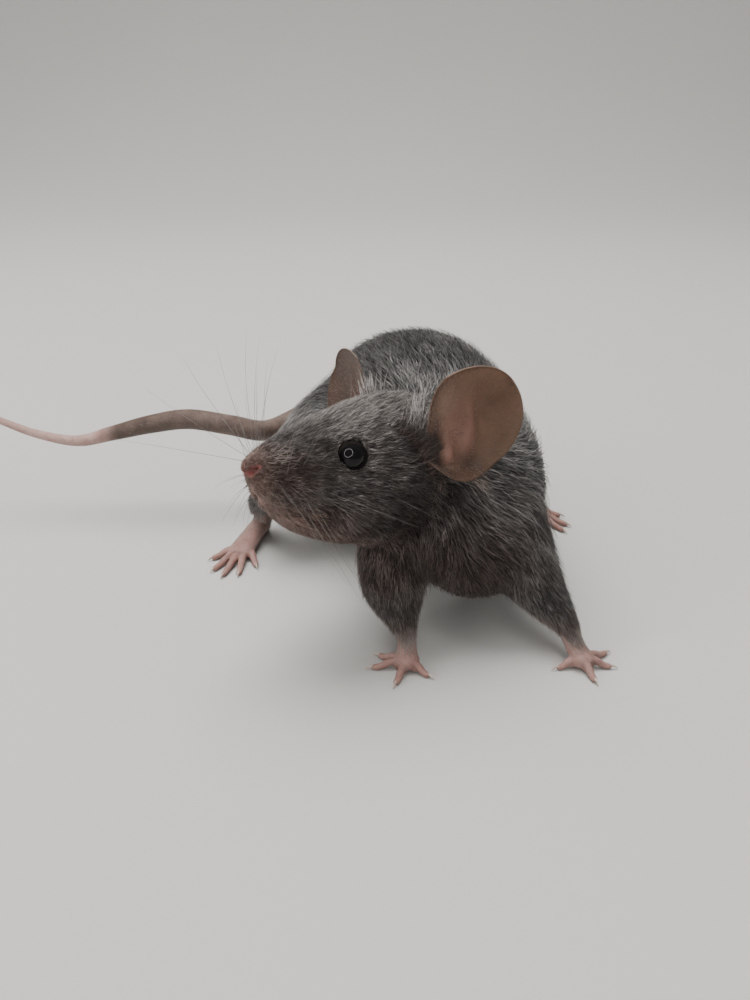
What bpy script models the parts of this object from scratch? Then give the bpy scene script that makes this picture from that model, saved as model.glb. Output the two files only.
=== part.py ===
"""A live grey mouse, life size, standing on four feet with its head turned to its right.

All sizes are millimetres, brought to metres by MM. X runs to the mouse's left, Y runs back along
its body from the forefeet, and Z is up from the soles. The solids are the outline of the coat.
"""
import math

import bmesh
import bpy
import numpy as np
from mathutils import Matrix, Vector
from mathutils.bvhtree import BVHTree

MM = 0.001
GAP = 0.3
FLOOR_PRESS = 0.15
SIDES = {"left": 1, "right": -1}

# How fine the flesh is before it is thinned, and how many triangles the whole of it keeps,
# once for the head's detail and once for the plain lengths behind it
BODY_VOXEL = 0.34
PAW_VOXEL = 0.17
TRUNK_FROM = 8.0
TRUNK_ROUNDS = 45
FINE_TRIANGLES = 13500
PLAIN_TRIANGLES = 4600
PAW_TRIANGLES = {"forepaw": 640, "hindpaw": 740}

# The head's own frame: the tip of the nose is its origin, X forward, Y left, Z up
NOSE_TIP = Vector((-14.5, -1.9, 28.3))
HEAD_YAW = math.radians(220)
HEAD_PITCH = math.radians(12.9)
HEAD_ROLL = math.radians(8.3)

# Torso: place of its axis, half width, half height
TORSO = (
    (8.8, 13.6, 22.0, 7.8, 8.4),
    (12.3, 15.0, 18.0, 10.4, 10.8),
    (10.8, 24.0, 18.7, 11.9, 12.2),
    (8.1, 34.0, 19.5, 13.4, 13.2),
    (5.9, 44.0, 19.0, 13.9, 12.8),
    (3.5, 53.0, 17.5, 12.0, 10.5),
    (1.3, 60.0, 15.3, 6.0, 5.2),
    (0.3, 63.4, 14.4, 2.5, 2.4),
    (-1.6, 65.2, 13.9, 2.2, 2.1),
)

# Chest, low between the forelegs: its middle and its radii
CHEST = ((13.0, 9.6, 13.2), (8.0, 6.8, 7.8))

# Upper limbs down to the wrist or ankle: place, half width along X, half depth along Y
FORELEG = {
    "right": (
        (4.8, 12.5, 17.0, 5.6, 6.5),
        (2.6, 10.8, 12.5, 5.1, 5.2),
        (2.3, 8.6, 9.0, 4.6, 4.6),
        (2.8, 5.6, 6.3, 3.6, 3.3),
        (3.6, 3.1, 4.1, 2.1, 2.0),
        (4.0, 1.6, 2.4, 1.4, 1.4),
    ),
    "left": (
        (16.4, 12.5, 17.0, 6.0, 7.0),
        (18.3, 10.6, 12.5, 5.0, 5.4),
        (20.1, 8.4, 9.0, 4.2, 4.5),
        (22.2, 5.6, 6.3, 3.1, 3.2),
        (24.2, 3.1, 4.2, 2.0, 2.0),
        (25.0, 1.8, 2.5, 1.4, 1.4),
    ),
}
THIGH = {
    "right": ((0.0, 45.0, 19.0, 8.5, 9.5), (-7.5, 37.5, 16.0, 6.8, 8.5), (-12.8, 31.2, 12.3, 4.7, 5.1)),
    "left": ((8.5, 47.0, 19.0, 8.5, 9.5), (15.0, 41.0, 16.0, 7.0, 8.5), (18.5, 37.0, 12.0, 4.6, 5.0)),
}
SHANK = {
    "right": ((-12.8, 31.6, 11.8, 4.3, 4.5), (-16.0, 34.8, 8.0, 3.2, 3.4), (-18.3, 37.4, 4.9, 2.3, 2.5),
              (-18.5, 38.0, 2.6, 1.8, 2.1)),
    "left": ((18.6, 37.5, 11.6, 4.2, 4.4), (20.4, 44.5, 8.0, 3.0, 3.2), (21.3, 49.8, 4.6, 2.0, 2.2),
             (21.6, 50.6, 2.6, 1.7, 2.0)),
}

# Head, in its own frame: distance behind the nose tip, top, bottom, half width
SKULL = (
    (0.3, 0.7, -1.0, 0.9),
    (1.0, 1.6, -1.7, 1.6),
    (2.7, 2.9, -3.5, 2.7),
    (5.0, 4.1, -5.2, 3.7),
    (8.7, 5.5, -7.4, 5.2),
    (13.4, 6.9, -9.2, 6.8),
    (18.0, 8.2, -10.2, 7.9),
    (22.0, 8.8, -10.6, 8.0),
    (26.0, 8.4, -10.4, 7.6),
    (30.0, 6.6, -9.0, 6.4),
)
CHIN = (
    (3.3, -4.0, -5.7, 1.5),
    (5.6, -4.2, -7.2, 2.5),
    (9.0, -4.6, -8.7, 3.9),
    (13.5, -5.0, -9.9, 5.6),
)
WHISKER_PAD = ((-4.4, 2.3, -2.1), (2.9, 1.9, 2.3))
CHEEK = ((-15.5, 4.5, -4.4), (5.8, 3.8, 5.2))
NOSE_PAD = ((-0.9, 0.0, 0.0), (1.15, 1.45, 1.2))

EYE_PLACE = (-11.1, 5.5, 1.9)
EYE_RADIUS = 1.75
EYE_SINK = 0.75
LID_HEIGHT = 0.4
LID_WIDTH = 0.5

NOSTRIL = ((-0.2, 0.55, -0.15), (-0.75, 1.25, 0.2))
PHILTRUM = ((-0.3, 0.0, -0.9), (-1.6, 0.0, -3.2))
MOUTH = ((-1.7, 0.0, -3.4), (-2.9, 1.6, -4.5), (-5.0, 2.9, -5.5), (-7.4, 3.9, -6.3))

# Each ear: middle of its root, the way its back runs from root to tip, and its twist about that
EAR_ROOT = {"left": (-21.9, 7.9, 3.4), "right": (-24.9, 8.0, 4.2)}
EAR_SPINE = {"left": (-0.491, 0.320, 0.481), "right": (-0.130, 0.763, 0.493)}
EAR_TWIST = {"left": math.radians(14.4), "right": math.radians(-6.2)}
EAR_CHORD = Vector((0.23, -0.18, 0.95))
EAR_LENGTH = 11.8
EAR_SUNK = 4.0
EAR_WIDEST = 0.54
EAR_WALL = 0.6

# Width of the ear before and behind its middle line, at the root and where it is widest
EAR_FRONT = (3.1, 6.9)
EAR_BACK = (4.6, 6.5)

# Tail: place of its axis and its radius
TAIL = (
    (1.4, 61.0, 15.0, 2.4),
    (0.3, 63.4, 14.4, 2.3),
    (-2.8, 65.8, 13.7, 2.15),
    (-8.0, 64.3, 13.2, 1.95),
    (-13.0, 57.0, 13.2, 1.8),
    (-18.2, 48.5, 14.0, 1.7),
    (-24.0, 46.3, 16.2, 1.6),
    (-30.6, 46.0, 17.1, 1.5),
    (-37.0, 46.0, 16.0, 1.3),
    (-43.5, 46.0, 14.0, 1.05),
    (-49.4, 46.0, 12.7, 0.8),
    (-56.0, 46.0, 14.0, 0.65),
    (-62.0, 46.0, 16.5, 0.55),
    (-68.0, 46.0, 19.0, 0.45),
    (-73.0, 46.0, 20.5, 0.35),
)
TAIL_CUTS = (0.36, 0.68)
TAIL_ROOT_CUT = ((0.3, 63.4, 14.4), (-0.55, 0.80, -0.22))

# Paws: centre of the palm, heading of each digit in degrees from +X, length of each digit
FOREPAW = {
    "right": {"palm": (4.0, -0.1, 1.25), "wrist": (4.0, 1.9, 2.7),
              "digits": ((322, 3.4), (248, 4.0), (184, 4.4), (146, 4.2))},
    "left": {"palm": (26.0, 0.4, 1.25), "wrist": (25.0, 2.1, 2.8),
             "digits": ((196, 3.2), (286, 3.8), (350, 3.7), (33, 4.4))},
}
HINDPAW = {
    "right": {"heel": (-18.4, 37.9, 1.6), "heading": 255, "turn": -1},
    "left": {"heel": (21.6, 50.2, 1.6), "heading": 305, "turn": 1},
}
HIND_SOLE = 9.6
HIND_TOES = ((-34, 3.6), (-13, 5.4), (1, 5.9), (15, 5.3), (38, 3.4))

# Cuts between the lengths of the body: a point on the cut, its normal, half width, half height
HEAD_CUT_BACK = 24.0
HEAD_CUT_LEAN = math.radians(18)
NECK_CUT = ((9.0, 15.0, 21.0), (0.35, 0.62, -0.70), 22.0, 24.0)
LIMB_CUTS = {
    "foreleg_right": ((1.0, 6.3, 10.4), (-0.12, -0.10, -0.98), 6.2, 8.3, 14.0),
    "foreleg_left": ((22.6, 6.3, 10.4), (0.12, -0.10, -0.98), 6.2, 8.3, 14.0),
    "hindleg_right": ((-7.8, 38.0, 13.0), (-0.87, -0.33, -0.36), 14.5, 14.5, 21.0),
    "hindleg_left": ((17.2, 42.0, 13.0), (0.90, -0.20, -0.38), 14.5, 14.5, 16.0),
}
WRIST_CUTS = {
    "forepaw_right": ((4.0, 1.9, 2.75), (0.10, -0.50, -0.86)),
    "forepaw_left": ((24.9, 2.2, 2.85), (0.25, -0.50, -0.83)),
    "hindpaw_right": ((-18.4, 37.9, 3.2), (0.0, 0.0, -1.0)),
    "hindpaw_left": ((21.5, 50.3, 3.2), (0.0, 0.0, -1.0)),
}
LENGTHS = ("torso", "head", "neck")

COLOURS = {
    "coat": ((0.150, 0.145, 0.145), 0.85),
    "ear": ((0.260, 0.170, 0.130), 0.60),
    "eye": ((0.006, 0.006, 0.008), 0.05),
    "skin": ((0.580, 0.360, 0.310), 0.55),
    "tail_skin": ((0.230, 0.170, 0.150), 0.65),
}


def clear_scene():
    for obj in list(bpy.data.objects):
        bpy.data.objects.remove(obj, do_unlink=True)


def collection(name):
    made = bpy.data.collections.new(name)
    bpy.context.scene.collection.children.link(made)
    return made


def material(name):
    colour, roughness = COLOURS[name]
    made = bpy.data.materials.new(name)
    made.use_nodes = True
    shader = made.node_tree.nodes["Principled BSDF"]
    shader.inputs["Base Color"].default_value = (*colour, 1.0)
    shader.inputs["Roughness"].default_value = roughness
    shader.inputs["Metallic"].default_value = 0.0
    return made


def smooth_rows(stations, steps):
    """Rows of numbers on a smooth curve through the stations, steps rows to each span."""
    rows = np.array(stations, float)
    before = 2 * rows[0] - rows[1]
    after = 2 * rows[-1] - rows[-2]
    knots = np.vstack([before, rows, after])
    out = []
    for i in range(1, len(knots) - 2):
        p0, p1, p2, p3 = knots[i - 1:i + 3]
        for k in range(steps):
            t = k / steps
            out.append(0.5 * (2 * p1 + (p2 - p0) * t + (2 * p0 - 5 * p1 + 4 * p2 - p3) * t ** 2
                              + (3 * p1 - p0 - 3 * p2 + p3) * t ** 3))
    out.append(knots[-2])
    return np.array(out)


def mesh_object(name, mesh_data, group):
    mesh = bpy.data.meshes.new(name)
    mesh_data.to_mesh(mesh)
    mesh_data.free()
    obj = bpy.data.objects.new(name, mesh)
    group.objects.link(obj)
    return obj


def loft(name, rows, group, sides=24, reference=(0, 0, 1), round_ends=True):
    """A closed body of elliptical sections. A row is x, y, z, half width, half height."""
    rows = [np.array(row, float) for row in rows]
    points = [Vector(row[:3]) for row in rows]
    tangents = []
    for i in range(len(points)):
        ahead = points[min(i + 1, len(points) - 1)]
        behind = points[max(i - 1, 0)]
        tangents.append((ahead - behind).normalized())
    sections = [(points[i], tangents[i], rows[i][3], rows[i][4]) for i in range(len(rows))]
    if round_ends:
        sections = rounded_end(sections[0], -1)[::-1] + sections + rounded_end(sections[-1], 1)
    bm = bmesh.new()
    rings = []
    for centre, tangent, half_width, half_height in sections:
        across = tangent.cross(Vector(reference)).normalized()
        upward = across.cross(tangent).normalized()
        ring = []
        for k in range(sides):
            angle = 2 * math.pi * k / sides
            offset = across * (half_width * math.cos(angle)) + upward * (half_height * math.sin(angle))
            ring.append(bm.verts.new((centre + offset) * MM))
        rings.append(ring)
    for first, second in zip(rings, rings[1:]):
        for k in range(sides):
            bm.faces.new((first[k], first[(k + 1) % sides], second[(k + 1) % sides], second[k]))
    bm.faces.new(rings[0])
    bm.faces.new(rings[-1])
    bmesh.ops.recalc_face_normals(bm, faces=bm.faces)
    return mesh_object(name, bm, group)


def rounded_end(section, way):
    centre, tangent, half_width, half_height = section
    reach = min(half_width, half_height)
    out = []
    for angle in (math.radians(35), math.radians(62), math.radians(82)):
        place = centre + tangent * (way * reach * math.sin(angle))
        out.append((place, tangent, half_width * math.cos(angle), half_height * math.cos(angle)))
    return out


def ellipsoid(name, centre, radii, group, segments=24):
    bm = bmesh.new()
    bmesh.ops.create_uvsphere(bm, u_segments=segments, v_segments=segments // 2 + 2, radius=1.0)
    shape = Matrix.Translation(Vector(centre) * MM) @ Matrix.Diagonal((*[r * MM for r in radii], 1.0))
    bmesh.ops.transform(bm, matrix=shape, verts=bm.verts)
    return mesh_object(name, bm, group)


def facing(normal):
    """A turn whose third axis is the normal and whose second points up, or back where that is steep."""
    ahead = Vector(normal).normalized()
    reference = Vector((0, 1, 0)) if abs(ahead.z) > 0.7 else Vector((0, 0, 1))
    across = reference.cross(ahead).normalized()
    upward = ahead.cross(across)
    return Matrix((across, upward, ahead)).transposed().to_4x4()


def box(name, centre, normal, half_width, half_height, depth, group):
    """A block with one axis along the normal, from depth[0] to depth[1] along it."""
    bm = bmesh.new()
    bmesh.ops.create_cube(bm, size=1.0)
    turn = facing(normal)
    middle = Matrix.Translation((0, 0, (depth[0] + depth[1]) / 2 * MM))
    size = Matrix.Diagonal((2 * half_width * MM, 2 * half_height * MM, (depth[1] - depth[0]) * MM, 1.0))
    shape = Matrix.Translation(Vector(centre) * MM) @ turn @ middle @ size
    bmesh.ops.transform(bm, matrix=shape, verts=bm.verts)
    obj = mesh_object(name, bm, group)
    obj.hide_render = True
    obj.display_type = "WIRE"
    return obj


def join(objects, name):
    """One object that holds the meshes of all, still overlapping."""
    bm = bmesh.new()
    for obj in objects:
        bm.from_mesh(obj.data)
    group = objects[0].users_collection[0]
    for obj in objects:
        bpy.data.objects.remove(obj, do_unlink=True)
    return mesh_object(name, bm, group)


def apply_modifiers(obj):
    graph = bpy.context.evaluated_depsgraph_get()
    mesh = bpy.data.meshes.new_from_object(obj.evaluated_get(graph))
    obj.modifiers.clear()
    obj.data = mesh


def fuse(obj, voxel, rounds):
    """Overlapping closed bodies become one smooth skin."""
    remesh = obj.modifiers.new("fuse", "REMESH")
    remesh.mode = "VOXEL"
    remesh.voxel_size = voxel * MM
    soften = obj.modifiers.new("soften", "SMOOTH")
    soften.factor = 0.5
    soften.iterations = rounds
    apply_modifiers(obj)


def soften_trunk(flesh):
    """Smooth the folds between the masses behind the head, and leave the thin lower legs alone."""
    inverse = head_matrix().inverted()
    behind = []
    for vert in flesh.data.vertices:
        if vert.co.z > TRUNK_FROM * MM and (inverse @ vert.co).x < -HEAD_CUT_BACK * MM:
            behind.append(vert.index)
    trunk = flesh.vertex_groups.new(name="trunk")
    trunk.add(behind, 1.0, "REPLACE")
    soften = flesh.modifiers.new("soften", "SMOOTH")
    soften.factor = 0.5
    soften.iterations = TRUNK_ROUNDS
    soften.vertex_group = "trunk"
    apply_modifiers(flesh)
    flesh.vertex_groups.clear()


def is_closed(mesh):
    bm = bmesh.new()
    bm.from_mesh(mesh)
    closed = all(edge.is_manifold for edge in bm.edges) and all(vert.is_manifold for vert in bm.verts)
    bm.free()
    return closed


def thin_out(obj, triangles):
    """Fewer triangles, a few less at each try until the surface stays closed."""
    full = obj.data
    full.calc_loop_triangles()
    now = len(full.loop_triangles)
    for tries in range(12):
        obj.data = full
        fewer = obj.modifiers.new("fewer", "DECIMATE")
        fewer.ratio = min(1.0, triangles * (1 - 0.02 * tries) / now)
        apply_modifiers(obj)
        if is_closed(obj.data):
            return
    raise ValueError(obj.name + " stays open")


def cut(obj, cutters, solver="EXACT", operation="DIFFERENCE"):
    for cutter in cutters:
        boolean = obj.modifiers.new("cut", "BOOLEAN")
        boolean.operation = operation
        boolean.solver = solver
        boolean.object = cutter
        apply_modifiers(obj)


def loose_parts(obj):
    """The closed surfaces of an object, as lists of face indices, largest box first."""
    mesh = obj.data
    parent = list(range(len(mesh.vertices)))

    def root(i):
        while parent[i] != i:
            parent[i] = parent[parent[i]]
            i = parent[i]
        return i

    for edge in mesh.edges:
        first, second = root(edge.vertices[0]), root(edge.vertices[1])
        parent[first] = second
    parts = {}
    for polygon in mesh.polygons:
        parts.setdefault(root(polygon.vertices[0]), []).append(polygon.index)
    return sorted(parts.values(), key=len, reverse=True)


def take_faces(obj, faces, name, group):
    bm = bmesh.new()
    bm.from_mesh(obj.data)
    bm.faces.ensure_lookup_table()
    keep = set(faces)
    drop = [face for face in bm.faces if face.index not in keep]
    bmesh.ops.delete(bm, geom=drop, context="FACES")
    loose = [vert for vert in bm.verts if not vert.link_faces]
    bmesh.ops.delete(bm, geom=loose, context="VERTS")
    return mesh_object(name, bm, group)


def keep_largest(obj):
    parts = loose_parts(obj)
    if len(parts) == 1:
        return obj
    name = obj.name
    group = obj.users_collection[0]
    obj.name = name + "_whole"
    kept = take_faces(obj, parts[0], name, group)
    bpy.data.objects.remove(obj, do_unlink=True)
    return kept


def head_matrix():
    turn = (Matrix.Rotation(HEAD_YAW, 4, "Z") @ Matrix.Rotation(-HEAD_PITCH, 4, "Y")
            @ Matrix.Rotation(HEAD_ROLL, 4, "X"))
    return Matrix.Translation(NOSE_TIP * MM) @ turn


def head_point(place):
    return head_matrix() @ (Vector(place) * MM) / MM


def head_direction(direction):
    return (head_matrix().to_3x3() @ Vector(direction)).normalized()


def mirrored(place, side):
    return (place[0], place[1] * SIDES[side], place[2])


def head_rows(stations):
    rows = []
    for back, top, bottom, half_width in smooth_rows(stations, 4):
        rows.append((-back, 0.0, (top + bottom) / 2, half_width, (top - bottom) / 2))
    return rows


def head_masses(group):
    masses = [
        loft("skull", head_rows(SKULL), group, sides=32),
        loft("chin", head_rows(CHIN), group),
        ellipsoid("nose_pad", *NOSE_PAD, group),
    ]
    for side in SIDES:
        masses.append(ellipsoid("whisker_pad", mirrored(WHISKER_PAD[0], side), WHISKER_PAD[1], group))
        masses.append(ellipsoid("cheek", mirrored(CHEEK[0], side), CHEEK[1], group))
    for mass in masses:
        mass.data.transform(head_matrix())
    return masses


def body_masses(group):
    masses = [loft("trunk", smooth_rows(TORSO, 5), group, sides=36), ellipsoid("chest", *CHEST, group)]
    for side in SIDES:
        for name, stations in (("arm", FORELEG), ("thigh", THIGH), ("shank", SHANK)):
            rows = smooth_rows(stations[side], 4)
            masses.append(loft(name, rows, group, reference=(0, 1, 0)))
    return masses


def distance_to_path(points, path):
    """Distance from each point to a path of straight runs."""
    best = np.full(len(points), np.inf)
    for start, end in zip(path, path[1:]):
        run = end - start
        share = np.clip(((points - start) @ run) / (run @ run), 0, 1)
        nearest = start + share[:, None] * run
        best = np.minimum(best, np.linalg.norm(points - nearest, axis=1))
    return best


def onto_skin(tree, place):
    found = tree.find_nearest(Vector(place) * MM)
    return found[0] / MM, found[1]


def shape_face(flesh):
    """Press the mouth, nostrils and groove of the lip into the head, and raise the lids."""
    inverse = head_matrix().inverted()
    mesh = flesh.data
    mesh.transform(inverse)
    tree = BVHTree.FromPolygons([v.co for v in mesh.vertices], [p.vertices for p in mesh.polygons])
    count = len(mesh.vertices)
    points = np.empty(count * 3)
    mesh.vertices.foreach_get("co", points)
    points = points.reshape(-1, 3) / MM
    normals = np.array([v.normal for v in mesh.vertices])
    lift = np.zeros(count)
    for side in SIDES:
        mouth = [onto_skin(tree, mirrored(p, side))[0] for p in MOUTH]
        away = distance_to_path(points, [np.array(p) for p in smooth_rows(mouth, 5)])
        lift -= 0.55 * np.exp(-(away / 0.36) ** 2)
        lift += 0.16 * np.exp(-((away - 0.85) / 0.4) ** 2)
        nostril = [np.array(onto_skin(tree, mirrored(p, side))[0]) for p in NOSTRIL]
        lift -= 0.5 * np.exp(-(distance_to_path(points, nostril) / 0.33) ** 2)
        eye, outward = onto_skin(tree, mirrored(EYE_PLACE, side))
        offset = points - np.array(eye)
        across = offset - np.outer(offset @ np.array(outward), np.array(outward))
        ring = np.linalg.norm(across, axis=1)
        near = np.linalg.norm(offset, axis=1) < 4.0
        lift += near * LID_HEIGHT * np.exp(-((ring - EYE_RADIUS) / LID_WIDTH) ** 2)
    groove = [np.array(onto_skin(tree, p)[0]) for p in PHILTRUM]
    lift -= 0.3 * np.exp(-(distance_to_path(points, groove) / 0.3) ** 2)
    points += normals * lift[:, None]
    mesh.vertices.foreach_set("co", (points * MM).ravel())
    mesh.transform(head_matrix())
    mesh.update()


def eye_centre(flesh_tree, side):
    surface, outward = onto_skin(flesh_tree, head_point(mirrored(EYE_PLACE, side)))
    return Vector(surface) - Vector(outward) * EYE_SINK


def skin_tree(obj):
    mesh = obj.data
    return BVHTree.FromPolygons([v.co for v in mesh.vertices], [p.vertices for p in mesh.polygons])


def copy_of(obj, name, group):
    twin = obj.copy()
    twin.data = obj.data.copy()
    twin.name = name
    group.objects.link(twin)
    return twin


def swell(obj, amount):
    mesh = obj.data
    normals = [v.normal.copy() for v in mesh.vertices]
    for vert, normal in zip(mesh.vertices, normals):
        vert.co += normal * (amount * MM)
    mesh.update()


def head_cut(group):
    back = head_direction((-1, 0, 0))
    down = head_direction((0, 0, -1))
    normal = back * math.cos(HEAD_CUT_LEAN) + down * math.sin(HEAD_CUT_LEAN)
    return box("head_cut", head_point((-HEAD_CUT_BACK, 0, 0)), normal, 24, 24, (-GAP / 2, GAP / 2), group)


def part_limb(flesh, name, parts_group, cutters_group):
    """Take a leg off the flesh with a block, leaving the gap between them."""
    place, normal, half_width, half_height, reach = LIMB_CUTS[name]
    inner = box(name + "_block", place, normal, half_width, half_height, (0, reach), cutters_group)
    outer = box(name + "_gap", place, normal, half_width + GAP, half_height + GAP, (-GAP, reach + GAP), cutters_group)
    limb = copy_of(flesh, name, parts_group)
    cut(limb, [inner], operation="INTERSECT")
    return keep_largest(limb), outer


def part_body(flesh, parts_group, cutters_group):
    """Part the flesh with thin cuts: the head from a fine skin, all behind it from a plain one."""
    fine = copy_of(flesh, "fine_flesh", parts_group)
    thin_out(fine, FINE_TRIANGLES)
    thin_out(flesh, PLAIN_TRIANGLES)
    wrists = []
    for name, (place, normal) in WRIST_CUTS.items():
        wrists.append(box(name + "_cut", place, normal, 4.5, 4.5, (0, 6), cutters_group))
    place, normal = TAIL_ROOT_CUT
    rump = box("rump_cut", place, normal, 5.0, 5.0, (0, 7), cutters_group)
    cut(flesh, wrists + [rump])
    nodes = {}
    cuts = []
    for name in LIMB_CUTS:
        nodes[name], block = part_limb(flesh, name, parts_group, cutters_group)
        cuts.append(block)
    thin = (-GAP / 2, GAP / 2)
    place, normal, half_width, half_height = NECK_CUT
    cuts.append(head_cut(cutters_group))
    cuts.append(box("neck_cut", place, normal, half_width, half_height, thin, cutters_group))
    for whole in (fine, flesh):
        cut(whole, cuts)
        for name, faces in zip(LENGTHS, loose_parts(whole)):
            if (name == "head") == (whole is fine):
                nodes[name] = take_faces(whole, faces, name, parts_group)
    bpy.data.objects.remove(fine, do_unlink=True)
    bpy.data.objects.remove(flesh, do_unlink=True)
    return nodes


def ear_surface(side):
    """Rows of points on the back of the ear, from its sunk root to its tip."""
    spine = Vector(EAR_SPINE[side]).normalized()
    chord = (EAR_CHORD - spine * EAR_CHORD.dot(spine)).normalized()
    opening = spine.cross(chord).normalized()
    twist = Matrix.Rotation(EAR_TWIST[side], 3, spine)
    chord = twist @ chord
    opening = twist @ opening
    total = EAR_LENGTH + EAR_SUNK
    rows = []
    steps = 13
    across_steps = 12
    for i in range(steps + 1):
        share = math.sin(math.pi / 2 * i / steps) * 0.992
        if share > EAR_WIDEST:
            swing = math.sqrt(1 - ((share - EAR_WIDEST) / (1 - EAR_WIDEST)) ** 2)
            front, back = EAR_FRONT[1] * swing, EAR_BACK[1] * swing
        else:
            ease = 0.5 - 0.5 * math.cos(math.pi * share / EAR_WIDEST)
            front = EAR_FRONT[0] + (EAR_FRONT[1] - EAR_FRONT[0]) * ease
            back = EAR_BACK[0] + (EAR_BACK[1] - EAR_BACK[0]) * ease
        curl = 0.43 + 0.70 * (1 - min(1.0, share / 0.6)) ** 1.5
        radius = (front + back) / 2 / curl
        start = Vector(EAR_ROOT[side]) + spine * (share * total - EAR_SUNK)
        row = []
        for k in range(across_steps + 1):
            angle = (-back + (front + back) * k / across_steps) / radius
            offset = chord * (radius * math.sin(angle)) + opening * (radius * (1 - math.cos(angle)))
            place = start + offset
            row.append(head_point((place.x, place.y * SIDES[side], place.z)))
        rows.append(row)
    return rows


def ear(side, clearance, group):
    rows = ear_surface(side)
    bm = bmesh.new()
    grid = [[bm.verts.new(place * MM) for place in row] for row in rows]
    for lower, upper in zip(grid, grid[1:]):
        for k in range(len(lower) - 1):
            bm.faces.new((lower[k], lower[k + 1], upper[k + 1]))
            bm.faces.new((lower[k], upper[k + 1], upper[k]))
    if SIDES[side] < 0:
        bmesh.ops.reverse_faces(bm, faces=bm.faces)
    obj = mesh_object("ear_" + side, bm, group)
    wall = obj.modifiers.new("wall", "SOLIDIFY")
    wall.thickness = EAR_WALL * MM
    wall.offset = 0.0
    apply_modifiers(obj)
    cut(obj, [clearance])
    return keep_largest(obj)


def eye(side, centre, group):
    return ellipsoid("eye_" + side, centre, (EYE_RADIUS,) * 3, group, segments=16)


def digit(name, root, heading, length, radius, group):
    """A toe that arches from its root to its tip, with a short claw."""
    ahead = Vector((math.cos(math.radians(heading)), math.sin(math.radians(heading)), 0))
    root = Vector(root)
    middle = root + ahead * (length * 0.5)
    tip = root + ahead * length
    floor = radius - FLOOR_PRESS
    rows = (
        (root.x, root.y, root.z, radius * 1.15, radius * 1.1),
        (middle.x, middle.y, floor + 0.42, radius, radius),
        (tip.x, tip.y, radius * 0.8 - FLOOR_PRESS, radius * 0.86, radius * 0.8),
    )
    toe = loft(name, smooth_rows(rows, 3), group, sides=12)
    claw_rows = []
    for share, thick in ((0.0, 0.30), (0.5, 0.24), (1.0, 0.13)):
        place = tip + ahead * (radius * 0.4 + 1.15 * share)
        claw_rows.append((place.x, place.y, floor + 0.25 - 0.3 * share ** 2, thick, thick))
    claw = loft(name + "_claw", claw_rows, group, sides=8)
    return [toe, claw]


def finish_paw(pieces, name, kind, group, cutters_group):
    paw = join(pieces, name)
    fuse(paw, PAW_VOXEL, 2)
    paw = keep_largest(paw)
    thin_out(paw, PAW_TRIANGLES[kind])
    place, normal = WRIST_CUTS[name]
    upper = box(name + "_top", place, normal, 6, 6, (-6, GAP), cutters_group)
    floor = box(name + "_floor", (place[0], place[1], 0), (0, 0, -1), 30, 30, (0, 6), cutters_group)
    cut(paw, [upper, floor])
    return keep_largest(paw)


def forepaw(side, group, cutters_group):
    name = "forepaw_" + side
    facts = FOREPAW[side]
    palm = Vector(facts["palm"])
    wrist = Vector(facts["wrist"])
    above = wrist + (wrist - palm) * 0.7
    rows = (
        (above.x, above.y, above.z, 1.4, 1.4),
        (wrist.x, wrist.y, wrist.z, 1.4, 1.35),
        (palm.x, palm.y, palm.z, 1.9, 1.35),
    )
    pieces = [loft(name + "_wrist", smooth_rows(rows, 3), group, sides=16)]
    pieces.append(ellipsoid(name + "_palm", palm, (2.0, 2.0, 1.3), group, 16))
    for i, (heading, length) in enumerate(facts["digits"]):
        ahead = Vector((math.cos(math.radians(heading)), math.sin(math.radians(heading)), 0))
        root = palm + ahead * 1.2 + Vector((0, 0, -0.35))
        pieces += digit(f"{name}_digit_{i}", root, heading, length - 1.6, 0.62, group)
    return finish_paw(pieces, name, "forepaw", group, cutters_group)


def hindpaw(side, group, cutters_group):
    name = "hindpaw_" + side
    facts = HINDPAW[side]
    heading = facts["heading"]
    ahead = Vector((math.cos(math.radians(heading)), math.sin(math.radians(heading)), 0))
    across = Vector((-ahead.y, ahead.x, 0))
    heel = Vector(facts["heel"])
    ball = heel + ahead * HIND_SOLE
    rows = (
        (heel.x, heel.y, heel.z, 1.7, 1.7),
        *[tuple(heel + ahead * (HIND_SOLE * share)) [:2] + (height, wide, height + FLOOR_PRESS)
          for share, wide, height in ((0.35, 1.75, 1.45), (0.7, 1.9, 1.25), (1.0, 2.1, 1.05))],
    )
    pieces = [loft(name + "_sole", smooth_rows(rows, 3), group, sides=16)]
    place = WRIST_CUTS[name][0]
    ankle = ((place[0], place[1], 5.2, 1.75, 2.0), (place[0], place[1], 3.2, 1.75, 2.0),
             (heel.x, heel.y, heel.z, 1.6, 1.6))
    pieces.append(loft(name + "_ankle", smooth_rows(ankle, 3), group, sides=16, reference=(0, 1, 0)))
    for i, (spread, length) in enumerate(HIND_TOES):
        turned = heading + spread * facts["turn"]
        shift = across * (1.45 * math.sin(math.radians(spread * 1.9)) * facts["turn"])
        root = ball + shift - ahead * (0.3 + 0.03 * abs(spread))
        root.z = 0.75
        pieces += digit(f"{name}_digit_{i}", root, turned, length, 0.66, group)
    return finish_paw(pieces, name, "hindpaw", group, cutters_group)


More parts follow.
